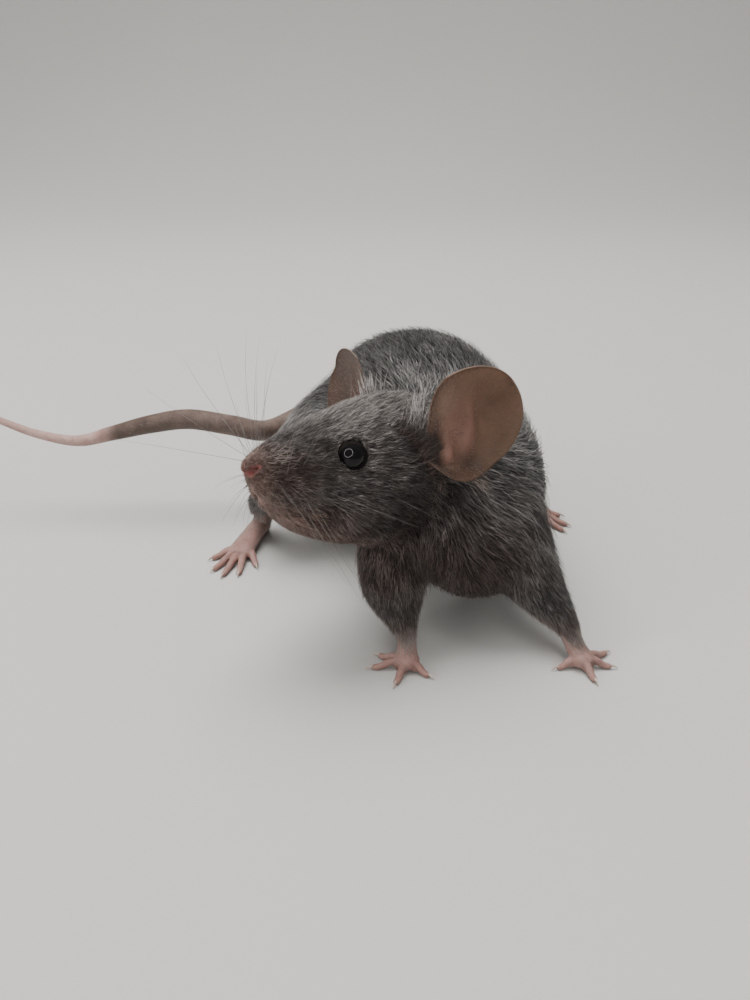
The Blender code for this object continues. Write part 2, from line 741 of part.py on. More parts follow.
def tail(group, cutters_group):
    """The tail in three lengths, each meeting the next across a thin cut."""
    rows = smooth_rows(TAIL, 3)
    whole = loft("tail", [(x, y, z, r, r) for x, y, z, r in rows], group, sides=10, round_ends=False)
    run = np.concatenate([[0], np.cumsum(np.linalg.norm(np.diff(rows[:, :3], axis=0), axis=1))])
    place, normal = TAIL_ROOT_CUT
    cutters = [box("tail_root_cut", place, normal, 5.0, 5.0, (-7, GAP), cutters_group)]
    for share in TAIL_CUTS:
        nearest = int(np.argmin(np.abs(run - share * run[-1])))
        ahead = rows[nearest + 1][:3] - rows[nearest - 1][:3]
        cutters.append(box("tail_cut", rows[nearest][:3], ahead, 4.0, 4.0, (-GAP / 2, GAP / 2), cutters_group))
    cut(whole, cutters)
    pieces = []
    for faces in loose_parts(whole):
        pieces.append(take_faces(whole, faces, "tail_length", group))
    bpy.data.objects.remove(whole, do_unlink=True)
    pieces.sort(key=lambda piece: -max(v.co.x for v in piece.data.vertices))
    for i, piece in enumerate(pieces):
        piece.name = f"tail_{i + 1}"
    return pieces


def centre_on_floor(group):
    """Put the origin under the middle of the whole animal, on the floor."""
    corners = [v.co for obj in group.objects for v in obj.data.vertices]
    low = [min(c[i] for c in corners) for i in range(3)]
    high = [max(c[i] for c in corners) for i in range(3)]
    shift = Vector((-(low[0] + high[0]) / 2, -(low[1] + high[1]) / 2, -low[2]))
    for obj in group.objects:
        obj.data.transform(Matrix.Translation(shift))


def main():
    clear_scene()
    parts_group = collection("grey_mouse")
    cutters_group = collection("cutters")
    flesh = join(head_masses(parts_group) + body_masses(parts_group), "flesh")
    fuse(flesh, BODY_VOXEL, 10)
    soften_trunk(flesh)
    clearance = copy_of(flesh, "ear_clearance", cutters_group)
    thin_out(clearance, 20000)
    swell(clearance, GAP + 0.05)
    tree = skin_tree(flesh)
    eyes = {side: eye_centre(tree, side) for side in SIDES}
    shape_face(flesh)
    nodes = part_body(flesh, parts_group, cutters_group)
    for side in SIDES:
        socket = ellipsoid("socket_" + side, eyes[side], (EYE_RADIUS + GAP,) * 3, cutters_group, segments=16)
        cut(nodes["head"], [socket])
        nodes["eye_" + side] = eye(side, eyes[side], parts_group)
        nodes["ear_" + side] = ear(side, clearance, parts_group)
        nodes["forepaw_" + side] = forepaw(side, parts_group, cutters_group)
        nodes["hindpaw_" + side] = hindpaw(side, parts_group, cutters_group)
    nodes["head"] = keep_largest(nodes["head"])
    for piece in tail(parts_group, cutters_group):
        nodes[piece.name] = piece
    for cutter in cutters_group.objects:
        cutter.hide_render = True
        cutter.display_type = "WIRE"
    slots = {name: material(name) for name in COLOURS}
    for name, node in nodes.items():
        kind = name.split("_")[0]
        slot = {"ear": "ear", "eye": "eye", "forepaw": "skin", "hindpaw": "skin", "tail": "tail_skin"}
        node.data.materials.clear()
        node.data.materials.append(slots[slot.get(kind, "coat")])
        node.data.shade_smooth()
    centre_on_floor(parts_group)


main()
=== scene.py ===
"""The looks of a live grey mouse, life size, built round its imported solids.

One skin lies under the coat, and the coat is solid tufts that follow its lie. Places and sizes are
millimetres in the model's frame, brought to metres by MM when a mesh is made. X runs to the mouse's
left, Y back along its body and Z up.
"""

import itertools
import math

import bpy
import numpy as np
from mathutils import Matrix, Vector
from mathutils.bvhtree import BVHTree
from mathutils.kdtree import KDTree


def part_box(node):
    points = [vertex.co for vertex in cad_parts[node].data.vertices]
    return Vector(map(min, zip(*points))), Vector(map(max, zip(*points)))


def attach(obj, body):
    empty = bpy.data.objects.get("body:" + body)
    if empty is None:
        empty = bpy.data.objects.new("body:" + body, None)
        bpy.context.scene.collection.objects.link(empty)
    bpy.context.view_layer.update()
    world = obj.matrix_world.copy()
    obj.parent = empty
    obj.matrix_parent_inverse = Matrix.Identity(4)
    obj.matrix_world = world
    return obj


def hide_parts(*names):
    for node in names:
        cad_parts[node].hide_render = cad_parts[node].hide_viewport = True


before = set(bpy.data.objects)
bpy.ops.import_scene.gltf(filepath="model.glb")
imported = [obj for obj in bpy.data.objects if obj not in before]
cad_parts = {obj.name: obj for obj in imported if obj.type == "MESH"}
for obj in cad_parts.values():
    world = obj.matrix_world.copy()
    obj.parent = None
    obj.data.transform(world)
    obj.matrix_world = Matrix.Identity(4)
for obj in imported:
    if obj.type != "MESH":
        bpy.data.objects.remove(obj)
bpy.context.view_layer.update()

MM = 0.001
SIDES = {"left": 1, "right": -1}
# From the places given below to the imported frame, and the place of the camera in that frame
SHIFT = np.array((20.335, -31.569, 0.0))
VIEWPOINT = np.array((20.335, -127.769, 68.2))

# The head's own frame: the tip of the nose is its origin, X forward, Y left, Z up
NOSE_TIP = np.array((-14.5, -1.9, 28.3)) + SHIFT
HEAD_YAW = math.radians(220)
HEAD_PITCH = math.radians(12.9)
HEAD_ROLL = math.radians(8.3)
HEAD_TURN = np.array(Matrix.Rotation(HEAD_YAW, 3, "Z") @ Matrix.Rotation(-HEAD_PITCH, 3, "Y")
                     @ Matrix.Rotation(HEAD_ROLL, 3, "X"))

# Head profile: distance behind the nose tip, top, bottom, half width
SKULL = np.array((
    (0.3, 0.7, -1.0, 0.9),
    (1.0, 1.6, -1.7, 1.6),
    (2.7, 2.9, -3.5, 2.7),
    (5.0, 4.1, -5.2, 3.7),
    (8.7, 5.5, -7.4, 5.2),
    (13.4, 6.9, -9.2, 6.8),
    (18.0, 8.2, -10.2, 7.9),
    (22.0, 8.8, -10.6, 8.0),
    (26.0, 8.4, -10.4, 7.6),
    (30.0, 6.6, -9.0, 6.4),
))
NOSTRIL = ((-0.15, 0.35, -0.75), (-0.35, 0.75, -0.45), (-0.85, 1.15, -0.05))
PHILTRUM = ((-0.15, 0.0, -0.5), (-0.6, 0.0, -1.4), (-1.6, 0.0, -3.2))
MOUTH = ((-1.7, 0.0, -3.4), (-2.9, 1.6, -4.5), (-5.0, 2.9, -5.5), (-7.4, 3.9, -6.3))
# Lines pressed into the face: path, depth, width, and height, distance and width of the lip beside it
FACE_LINES = ((MOUTH, 0.30, 0.22, 0.07, 0.55, 0.25), (NOSTRIL, 0.50, 0.22, 0.03, 0.45, 0.20))
# Fuller chin and nose: middle, height, width
FACE_SWELLS = (((-1.6, 0.0, -3.6), 0.45, 2.3), ((-0.2, 0.0, 0.2), 0.18, 1.5))
EYE_RADIUS = 1.75
EYE_REGION = 3.6
# The lids' opening: half its angle, how much more at its corners, and the section of the lids' edge as
# degrees behind the opening and height over the ball
LID_OPENING = math.radians(56)
LID_CORNER = math.radians(6)
LID_SECTION = ((0, 0.0), (0.6, 0.05), (2.5, 0.09), (6, 0.12), (12, 0.13), (20, 0.11), (28, 0.04), (28, -0.08),
               (14, -0.08), (2, -0.05))

# Axes of the body and limbs from front to back or top to bottom: place and radius
TRUNK = ((8.8, 13.6, 22.0, 8.1), (12.3, 15.0, 18.0, 10.6), (10.8, 24.0, 18.7, 12.0), (8.1, 34.0, 19.5, 13.3),
         (5.9, 44.0, 19.0, 13.4), (3.5, 53.0, 17.5, 11.2), (1.3, 60.0, 15.3, 5.6), (-0.5, 65.0, 14.0, 2.5))
LIMBS = (
    ((4.8, 12.5, 17.0, 6.0), (2.6, 10.8, 12.5, 5.1), (2.3, 8.6, 9.0, 4.6), (2.8, 5.6, 6.3, 3.4),
     (3.6, 3.1, 4.1, 2.0), (4.0, 0.6, 1.6, 1.5)),
    ((16.4, 12.5, 17.0, 6.5), (18.3, 10.6, 12.5, 5.2), (20.1, 8.4, 9.0, 4.3), (22.2, 5.6, 6.3, 3.2),
     (24.2, 3.1, 4.2, 2.0), (25.4, 0.8, 1.6, 1.5)),
    ((0.0, 45.0, 19.0, 9.0), (-7.5, 37.5, 16.0, 7.6), (-12.8, 31.2, 12.3, 4.9), (-16.0, 34.8, 8.0, 3.3),
     (-18.3, 37.4, 4.9, 2.4), (-18.5, 38.0, 2.0, 2.0)),
    ((8.5, 47.0, 19.0, 9.0), (15.0, 41.0, 16.0, 7.7), (18.6, 37.2, 11.8, 4.6), (20.4, 44.5, 8.0, 3.1),
     (21.3, 49.8, 4.6, 2.1), (21.6, 50.6, 2.0, 1.9)),
)

# Each ear: middle of its root, the way its back runs from root to tip, and its twist about that
EAR_ROOT = {"left": (-21.9, 7.9, 3.4), "right": (-24.9, 8.0, 4.2)}
EAR_SPINE = {"left": (-0.491, 0.320, 0.481), "right": (-0.130, 0.763, 0.493)}
EAR_TWIST = {"left": math.radians(14.4), "right": math.radians(-6.2)}
EAR_CHORD = Vector((0.23, -0.18, 0.95))
EAR_LENGTH = 11.8
EAR_SUNK = 4.0
EAR_WIDEST = 0.54
EAR_ROWS = 52
EAR_COLUMNS = 44
# Along each ear from its sunk root: share of its length, how far it reaches in front and behind
EAR_WIDTHS = ((0.0, 0.2, 0.3), (0.10, 0.4, 0.8), (0.14, 0.5, 3.2), (0.175, 0.9, 4.9), (0.22, 1.7, 5.8),
              (0.28, 3.1, 6.3), (0.36, 5.1, 6.6), (0.45, 6.4, 6.7), (0.54, 6.9, 6.5))

# Soft patches on an ear: height, place along it, length, place across it, width. A hollow's height is below 0
EAR_FOLDS = ((0.75, 0.28, 0.055, -0.10, 0.20), (-0.60, 0.31, 0.09, 0.42, 0.22),
             (-0.35, 0.36, 0.10, -0.70, 0.17))
EAR_CUP = ((0.75, 0.44, 0.14, 0.05, 0.45), (1.0, 0.275, 0.06, -0.10, 0.22))
# Painted shade, in a hollow and low on an ear
EAR_SHADE = ((0.75, 0.29, 0.07, 0.48, 0.24), (0.55, 0.36, 0.12, -0.72, 0.22))
# A patch of painted light on an ear
EAR_PAINTED_LIGHT = ((0.75, 0.46, 0.13, 0.62, 0.24),)

# Dark hairs and painted shadow before each ear and in the notch under it: place in the head's frame, and size
EAR_SHADOWS = (((-18.6, 7.6, 2.2), 2.6), ((-22.2, 6.9, 2.0), 1.8), ((-24.3, 8.0, -1.4), 1.0))

# Tail: place of its axis and its radius, and the shares of its length where it darkens and turns pink
TAIL = ((5.2, 53.5, 16.6, 2.7), (1.4, 61.0, 15.0, 2.4), (0.3, 63.4, 14.4, 2.3), (-2.8, 65.8, 13.7, 2.15),
        (-8.0, 64.3, 13.2, 1.95), (-13.0, 57.0, 13.1, 1.85), (-18.2, 48.5, 13.6, 1.75),
        (-24.0, 46.3, 15.4, 1.70), (-30.6, 46.0, 16.5, 1.66), (-37.0, 46.0, 15.6, 1.52),
        (-43.5, 46.0, 14.0, 1.22), (-49.4, 46.0, 12.7, 0.92), (-56.0, 46.0, 14.0, 0.72),
        (-62.0, 46.0, 16.5, 0.60), (-68.0, 46.0, 19.0, 0.48), (-73.0, 46.0, 20.5, 0.36))
TAIL_RING = 0.42
TAIL_DARKENS = 0.48
TAIL_PINKENS = 0.668
TAIL_NODES = ("tail_1", "tail_2", "tail_3")

# Paws: centre of the palm, the wrist, and each digit's heading in degrees from +X and its length
FOREPAW = {
    "right": {"palm": (4.0, -0.1, 1.25), "wrist": (4.0, 1.9, 2.7), "up": (3.6, 4.4, 5.2),
              "digits": ((322, 3.4), (248, 4.0), (184, 4.4), (146, 4.2))},
    "left": {"palm": (26.0, 0.4, 1.25), "wrist": (25.0, 2.1, 2.8), "up": (24.0, 4.2, 5.2),
             "digits": ((196, 3.2), (286, 3.8), (350, 3.7), (33, 4.4))},
}
HINDPAW = {
    "right": {"heel": (-18.4, 37.9, 1.6), "above": (-17.2, 36.2, 6.2), "heading": 255, "turn": -1},
    "left": {"heel": (21.6, 50.2, 1.6), "above": (20.9, 47.6, 6.0), "heading": 305, "turn": 1},
}
# Length of the hind sole, and along it the share, half width and height of its sections
HIND_SOLE = 9.6
HIND_SECTIONS = ((0, 1.55, 1.5), (0.35, 1.6, 1.4), (0.7, 1.85, 1.2), (1.0, 2.0, 1.0))
HIND_TOES = ((-34, 3.6), (-13, 5.4), (1, 5.9), (15, 5.3), (38, 3.4))
CLAW_LENGTH = 0.95

# Whiskers of the pads in rows and columns, and how steeply each row rises
WHISKER_ROWS = 5
WHISKER_COLUMNS = 5
WHISKER_RISE = (1.15, 0.85, -0.20, -0.65, -1.0)
# Two whiskers over each eye and one on each cheek: root and way in the head's frame, and length
FACE_WHISKERS = (((-9.6, 4.6, 4.6), (-0.75, 0.75, 0.6), 7.0), ((-10.6, 4.8, 4.8), (-1.0, 0.6, 0.5), 6.5),
                 ((-14.5, 8.0, -2.2), (-0.35, 1.0, -0.3), 7.5))
# The long whiskers that rise on the far cheek: their root in the head's frame, and their ends
FAR_WHISKER_ROOT = (-4.2, -3.0, -0.5)
FAR_WHISKERS = ((-19.5, 23.0, 38.6), (-17.0, 20.0, 38.4), (-23.0, 19.5, 38.2), (-13.5, 13.5, 38.4),
                (-26.5, 15.0, 37.2), (-30.0, 9.5, 34.5), (-33.0, 4.0, 30.0))
# No whisker lies this near the middle of the left eye as the camera sees it
EYE_IN_SIGHT = 2.4

FLESH = ("head", "neck", "torso", "foreleg_left", "foreleg_right", "hindleg_left", "hindleg_right")
SKIN_VOXEL = 0.37
SKIN_SWELL = 0.22
PAW_VOXEL = 0.13

# Depth of the coat and length of its hair: by the distance behind the nose, on the body, and by the height
# on the legs
FACE_DEPTH = ((0.5, 0.05), (3, 0.12), (6, 0.2), (12, 0.35), (20, 0.6), (27, 0.9))
BODY_DEPTH = 0.9
LIMB_DEPTH = ((2.5, 1.1), (4, 0.7), (6, 0.45), (12, 0.9))
FACE_HAIR = ((0.5, 0.40), (3, 0.72), (6, 1.08), (12, 1.7), (20, 2.6), (27, 3.6))
BODY_HAIR = 4.4
LIMB_HAIR = ((3, 0.8), (6, 1.3), (10, 2.1), (14, 3.2), (18, 4.4))

TRIANGLES_PER_PIECE = 190000
# Hairs shorter than this are straight spikes of four points. Hairs draw together in locks of so many
SHORT_HAIR = 1.45
LOCK_SIZE = 9
# By the points of a tuft: how far along it each is, and where it lies across its patch of the UV map
TUFT_PATCH = {7: ((0.0, 0.0, 0.0, 0.5, 0.5, 0.5, 1.0), (0, 1, 0.5, 0, 1, 0.5, 0.5)),
              4: ((0.1, 0.1, 0.1, 1.0), (0, 1, 0.5, 0.5))}
# Masks that colour a hair, besides how far along it a place is and the tone that is picked for it
HAIR_MARKS = ("warm", "pale", "dark")
SEED = 7


# Small tools

def select_only(obj):
    bpy.ops.object.select_all(action="DESELECT")
    obj.select_set(True)
    bpy.context.view_layer.objects.active = obj


def apply_modifiers(obj):
    select_only(obj)
    for modifier in list(obj.modifiers):
        bpy.ops.object.modifier_apply(modifier=modifier.name)


def shade_smooth(obj):
    obj.data.polygons.foreach_set("use_smooth", np.ones(len(obj.data.polygons), bool))


def smoothstep(low, high, values):
    share = np.clip((np.asarray(values, float) - low) / (high - low), 0, 1)
    return share * share * (3 - 2 * share)


def bell(*pairs):
    """A bump of height 1 that falls off with distance. Distances and their widths alternate."""
    return np.exp(-sum((far / wide) ** 2 for far, wide in zip(pairs[::2], pairs[1::2])))


def blob(points, middle, radii):
    """The same bump round a place in space, with a radius each way."""
    return np.exp(-(((points - np.array(middle)) / np.array(radii)) ** 2).sum(1))


def distance(points, place):
    return np.linalg.norm(points - np.array(place), axis=1)


def unit(vectors):
    lengths = np.linalg.norm(vectors, axis=-1, keepdims=True)
    return vectors / np.maximum(lengths, 1e-9)


def smooth_rows(stations, steps):
    """Rows of numbers on a smooth curve through the stations, steps rows to each span."""
    rows = np.array(stations, float)
    knots = np.vstack([2 * rows[0] - rows[1], rows, 2 * rows[-1] - rows[-2]])
    out = []
    for i in range(1, len(knots) - 2):
        p0, p1, p2, p3 = knots[i - 1:i + 3]
        for k in range(steps):
            t = k / steps
            out.append(0.5 * (2 * p1 + (p2 - p0) * t + (2 * p0 - 5 * p1 + 4 * p2 - p3) * t ** 2
                              + (3 * p1 - p0 - 3 * p2 + p3) * t ** 3))
    out.append(knots[-2])
    return np.array(out)


def new_object(name, data):
    made = bpy.data.objects.new(name, data)
    bpy.context.scene.collection.objects.link(made)
    return made


def put_mesh(name, points, faces):
    """A smooth-shaded object from points in millimetres and faces that all have as many corners."""
    faces = np.asarray(faces, np.int32)
    mesh = bpy.data.meshes.new(name)
    mesh.vertices.add(len(points))
    mesh.vertices.foreach_set("co", (np.asarray(points, float) * MM).ravel())
    mesh.loops.add(faces.size)
    mesh.loops.foreach_set("vertex_index", faces.ravel())
    mesh.polygons.add(len(faces))
    mesh.polygons.foreach_set("loop_start", np.arange(0, faces.size, faces.shape[1], dtype=np.int32))
    mesh.update(calc_edges=True)
    obj = new_object(name, mesh)
    shade_smooth(obj)
    return obj


def mesh_points(obj):
    points = np.empty(len(obj.data.vertices) * 3)
    obj.data.vertices.foreach_get("co", points)
    return points.reshape(-1, 3) / MM


def mesh_normals(obj):
    normals = np.empty(len(obj.data.vertices) * 3)
    obj.data.vertex_normals.foreach_get("vector", normals)
    return normals.reshape(-1, 3)


def set_points(obj, points):
    obj.data.vertices.foreach_set("co", (points * MM).ravel())
    obj.data.update()


def point_mask(obj, name, values):
    attribute = obj.data.attributes.new(name, "FLOAT", "POINT")
    attribute.data.foreach_set("value", np.asarray(values, np.float32))


def nearest_finder(obj):
    points = [tuple(p) for p in mesh_points(obj)]
    return BVHTree.FromPolygons(points, [tuple(p.vertices) for p in obj.data.polygons])


def nearest_place(places):
    """A finder among places. What it finds is the nearest, its number and how far off it is."""
    finder = KDTree(len(places))
    for number, place in enumerate(places):
        finder.insert(place, number)
    finder.balance()
    return finder


def placed(places):
    """Places of this script, with any radius beside them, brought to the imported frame."""
    places = np.array(places, float)
    return places + np.array((*SHIFT, 0.0))[:places.shape[-1]]


def to_head(points):
    return (np.asarray(points, float) - NOSE_TIP) @ HEAD_TURN


def from_head(points):
    return np.asarray(points, float) @ HEAD_TURN.T + NOSE_TIP


def mirrored(place, side):
    return np.array((place[0], place[1] * SIDES[side], place[2]), float)


def middle_of(node):
    low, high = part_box(node)
    return np.array((low + high) / 2) / MM


# Bodies of lofted rows, joined and fused into one smooth skin

def loft(rows, sides, reference=(0, 0, 1)):
    """Rings of points round an axis. A row is x, y, z, half width and half height."""
    rows = np.array(rows, float)
    places = rows[:, :3]
    tangents = unit(np.gradient(places, axis=0))
    across = unit(np.cross(tangents, np.array(reference, float)))
    upward = np.cross(across, tangents)
    angles = 2 * np.pi * np.arange(sides) / sides
    return (places[:, None] + across[:, None] * (rows[:, 3, None] * np.cos(angles))[..., None]
            + upward[:, None] * (rows[:, 4, None] * np.sin(angles))[..., None])


def rounded(rows, steps=4):
    """The rows with a dome of steps rows added at each end."""
    rows = np.array(rows, float)
    out = []
    for i, way in ((0, -1), (len(rows) - 1, 1)):
        tangent = unit(rows[i, :3] - rows[i - way, :3])
        reach = min(rows[i, 3], rows[i, 4])
        dome = []
        for k in range(1, steps + 1):
            angle = math.pi / 2 * min(k / steps, 0.985)
            place = rows[i, :3] + tangent * reach * math.sin(angle)
            dome.append((*place, rows[i, 3] * math.cos(angle), rows[i, 4] * math.cos(angle)))
        out.append(np.array(dome))
    return np.vstack([out[0][::-1], rows, out[1]])


def ring_tube(rings):
    """Points and triangles of a closed tube through rings of points."""
    count, sides = rings.shape[:2]
    index = np.arange(count * sides).reshape(count, sides)
    beside = np.roll(index, -1, axis=1)
    quads = np.stack([index[:-1], beside[:-1], beside[1:], index[1:]], -1).reshape(-1, 4)
    ends = np.array([rings[0].mean(0), rings[-1].mean(0)])
    first_end = np.full(sides, count * sides)
    first_cap = np.stack([first_end, beside[0], index[0]], -1)
    last_cap = np.stack([first_end + 1, index[-1], beside[-1]], -1)
    points = np.vstack([rings.reshape(-1, 3), ends])
    return points, np.vstack([quads[:, [0, 1, 2]], quads[:, [0, 2, 3]], first_cap, last_cap])


def ball(centre, radii, segments=24):
    """Rings of points round a ball with three radii. Its poles are the caps of the tube."""
    angles = np.linspace(0, math.pi, segments // 2 + 1)[1:-1]
    turn = 2 * np.pi * np.arange(segments) / segments
    heights = np.repeat(np.cos(angles)[:, None], segments, 1)
    widths = [np.outer(np.sin(angles), way) for way in (np.cos(turn), np.sin(turn))]
    return np.stack([*widths, heights], -1) * np.array(radii) + np.array(centre)


def gather(tubes):
    """The meshes of several closed tubes of rings as one list of points and triangles."""
    points, triangles, start = [], [], 0
    for rings in tubes:
        some, faces = ring_tube(rings)
        points.append(some)
        triangles.append(faces + start)
        start += len(some)
    return np.vstack(points), np.vstack(triangles)


def edit_whole(obj):
    """Go into edit mode with the whole mesh selected."""
    select_only(obj)
    bpy.ops.object.mode_set(mode="EDIT")
    bpy.ops.mesh.select_all(action="SELECT")


def leave_edit():
    bpy.ops.object.mode_set(mode="OBJECT")


def outward(obj):
    edit_whole(obj)
    bpy.ops.mesh.normals_make_consistent(inside=False)
    leave_edit()


def closed_piece(name, tubes):
    """One mesh of closed tubes of rings, with its faces outwards."""
    piece = put_mesh(name, *gather(tubes))
    outward(piece)
    return piece


def fuse(obj, voxel, rounds):
    remesh = obj.modifiers.new("fuse", "REMESH")
    remesh.mode = "VOXEL"
    remesh.voxel_size = voxel * MM
    soften = obj.modifiers.new("soften", "SMOOTH")
    soften.factor = 0.5
    soften.iterations = rounds
    apply_modifiers(obj)
    shade_smooth(obj)


# Regions of the animal, read from the place alone

def head_facts(points):
    """Distance behind the nose, and how far out of the skull's outline a point is (1 on it)."""
    local = to_head(points)
    behind = -local[:, 0]
    top = np.interp(behind, SKULL[:, 0], SKULL[:, 1])
    bottom = np.interp(behind, SKULL[:, 0], SKULL[:, 2])
    half = np.interp(behind, SKULL[:, 0], SKULL[:, 3])
    out = np.hypot(local[:, 1] / half, (local[:, 2] - (top + bottom) / 2) / ((top - bottom) / 2))
    return local, behind, out


def head_share(points):
    _, behind, out = head_facts(points)
    return smoothstep(28.5, 22.0, behind) * smoothstep(1.75, 1.3, out)


def by_region(points, on_face, on_body, on_limb):
    """A number that changes back along the head, over the body and with the height of the legs."""
    behind = -to_head(points)[:, 0]
    head = np.interp(behind, *zip(*on_face))
    rest = np.minimum(on_body, np.interp(points[:, 2], *zip(*on_limb)))
    return rest + (head - rest) * head_share(points)


def coat_depth(points):
    return by_region(points, FACE_DEPTH, BODY_DEPTH, LIMB_DEPTH)


def hair_length(points):
    return by_region(points, FACE_HAIR, BODY_HAIR, LIMB_HAIR)


# Skin

def swollen_copy(name):
    twin = new_object(name + "_copy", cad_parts[name].data.copy())
    edit_whole(twin)
    bpy.ops.mesh.remove_doubles(threshold=0.000002)
    leave_edit()
    set_points(twin, mesh_points(twin) + mesh_normals(twin) * SKIN_SWELL)
    return twin


def body_skin():
    """Copies of the flesh, swollen until they meet, fused, and drawn in by the depth of the coat."""
    copies = [swollen_copy(name) for name in FLESH]
    select_only(copies[0])
    for twin in copies:
        twin.select_set(True)
    bpy.ops.object.join()
    skin = bpy.context.view_layer.objects.active
    skin.name = "skin"
    skin.data.materials.clear()
    fuse(skin, SKIN_VOXEL, 7)
    points = mesh_points(skin)
    depth = coat_depth(points) + SKIN_SWELL
    set_points(skin, points - mesh_normals(skin) * depth[:, None])
    return skin


def refine_face(skin):
    """Divide the faces of the muzzle and round the eyes once more."""
    points = mesh_points(skin)
    _, behind, out = head_facts(points)
    near = (behind < 9.5) & (out < 1.6)
    for side in SIDES:
        near |= distance(points, middle_of("eye_" + side)) < EYE_REGION
    select_only(skin)
    mesh = skin.data
    mesh.polygons.foreach_set("select", [bool(near[list(p.vertices)].all()) for p in mesh.polygons])
    bpy.ops.object.mode_set(mode="EDIT")
    bpy.ops.mesh.subdivide(number_cuts=1, smoothness=0)
    bpy.ops.mesh.vertices_smooth(factor=0.5, repeat=2)
    leave_edit()
    shade_smooth(skin)


def distance_to_path(points, path):
    best = np.full(len(points), np.inf)
    for start, end in zip(path, path[1:]):
        run = end - start
        share = np.clip(((points - start) @ run) / (run @ run), 0, 1)
        nearest = start + share[:, None] * run
        best = np.minimum(best, np.linalg.norm(points - nearest, axis=1))
    return best


def nearest_on(finder, place):
    """The skin's nearest place to one given in the head's frame."""
    return np.array(finder.find_nearest(Vector(from_head(place)))[0])


def path_on_skin(finder, places, side):
    """A smooth path on the skin near places given in the head's frame."""
    return [nearest_on(finder, mirrored(place, side)) for place in smooth_rows(places, 5)]


def eye_axis(finder, side):
    """The middle of the eye and the way it looks, square to the skin round it."""
    centre = middle_of("eye_" + side)
    local = to_head(centre[None])[0]
    ways = []
    for k in range(16):
        angle = 2 * math.pi * k / 16
        guess = local + np.array((3.2 * math.cos(angle), 2.0 * SIDES[side], 3.2 * math.sin(angle)))
        ways.append(np.array(finder.find_nearest(Vector(from_head(guess)))[1]))
    return centre, unit(np.mean(ways, axis=0))


def face_lift(points, finder):
    """How far each point of the skin moves out: a fuller chin and nose, lips, lids, and grooves between."""
    local = to_head(points)
    lift = sum(height * bell(distance(local, middle), wide) for middle, height, wide in FACE_SWELLS)
    for side in SIDES:
        for path, depth, wide, lip, beside, lip_wide in FACE_LINES:
            away = distance_to_path(points, path_on_skin(finder, path, side))
            lift -= depth * bell(away, wide)
            lift += lip * bell(away - beside, lip_wide)
        centre, way = eye_axis(finder, side)
        offset = points - centre
        along = offset @ way
        ring = np.linalg.norm(offset - np.outer(along, way), axis=1)
        near = (np.linalg.norm(offset, axis=1) < EYE_REGION) & (along > 0)
        lift += near * 0.12 * bell(ring - 1.95, 0.35)
    groove = distance_to_path(points, path_on_skin(finder, PHILTRUM, "left"))
    return lift - 0.16 * bell(groove, 0.16)


def shape_face(skin):
    """Shape the mouth, nose and lids, and draw the skin in round each eyeball."""
    points = mesh_points(skin)
    lift = face_lift(points, nearest_finder(skin))
    points = points + mesh_normals(skin) * lift[:, None]
    hug = EYE_RADIUS + 0.05
    for side in SIDES:
        centre = middle_of("eye_" + side)
        offset = points - centre
        away = np.linalg.norm(offset, axis=1)
        drawn = np.where(away < hug, hug, hug + (away - hug) * smoothstep(hug - 0.3, hug + 0.9, away))
        points = centre + offset * (np.where(away < 3.0, drawn, away) / away)[:, None]
    set_points(skin, points)


# Markings of the coat

def markings(points, finder):
    """Shares of warm brown, pale, dark and bare skin at each place; dark holds painted shade, warm some
    painted light.
    """
    local, behind, out = head_facts(points)
    on_head = head_share(points)
    lips, nostril = (distance_to_pair(points, finder, path) for path in (MOUTH, NOSTRIL))
    nose = distance(local, (-0.6, 0.0, -0.2))
    chin = smoothstep(-2.6, -5.5, local[:, 2]) * smoothstep(15, 4, behind) * on_head
    # The throat's warm brown is partly its own colour and partly painted reflected light
    throat = smoothstep(-5.5, -9.5, local[:, 2]) * smoothstep(26, 12, behind) * smoothstep(2.0, 1.4, out)
    # The chest: its dark is painted shade, and its warm brown partly painted reflected light
    chest = blob(points, placed((11.0, 4.0, 12.5)), (9.0, 7.5, 6.5))
    pad = face_spot(local, -3.9, -1.4, 5.5) * on_head * smoothstep(1.0, 2.2, np.abs(local[:, 1]))
    under_nose = face_spot(local, -1.4, -2.6, 1.8) * on_head
    low = smoothstep(7.5, 3.5, points[:, 2]) * (1 - on_head)
    crown = smoothstep(1.5, 5.0, local[:, 2]) * smoothstep(5, 9, behind) * on_head
    nape = smoothstep(18, 26, behind) * smoothstep(40, 30, behind) * smoothstep(15, 24, points[:, 2])
    haunch = bell(distance(points, placed((-10.0, 38.5, 20.0))), 6.5)
    back = smoothstep(-14, -4, points[:, 1]) * smoothstep(16, 24, points[:, 2]) * (1 - haunch)
    # Painted shade low on the side of the face
    cheek = smoothstep(1.0, -3.0, local[:, 2]) * smoothstep(7, 12, behind) * on_head
    lip_edge = bell(lips, 1.0) * smoothstep(7.5, 4.0, behind)
    warm = (0.15 * on_head + 0.7 * bell(lips, 0.8) + 0.8 * chin + 0.6 * throat + 0.5 * chest
            + 0.7 * pad + 0.75 * smoothstep(4.5, 1.0, nose) + 0.4 * under_nose + 0.55 * low)
    pale = (0.85 * crown + 0.40 * nape + 0.4 * chin * smoothstep(9, 4, behind) + 0.6 * low
            + 0.7 * lip_edge + 0.8 * haunch + 0.75 * under_nose)
    # Dark hair, with painted shade on the cheeks and chest
    dark = (0.90 * pad + 0.5 * pad_top(local) + ear_front(points) + 0.5 * back + 0.4 * cheek
            + 0.5 * chest + 0.7 * bristle_spots(local))
    bare = bell(nostril, 0.56) + 0.4 * bell(lips, 0.3)
    marks = {"warm": warm, "pale": pale, "dark": dark, "bare": bare}
    return {name: np.clip(values, 0, 1) for name, values in marks.items()}


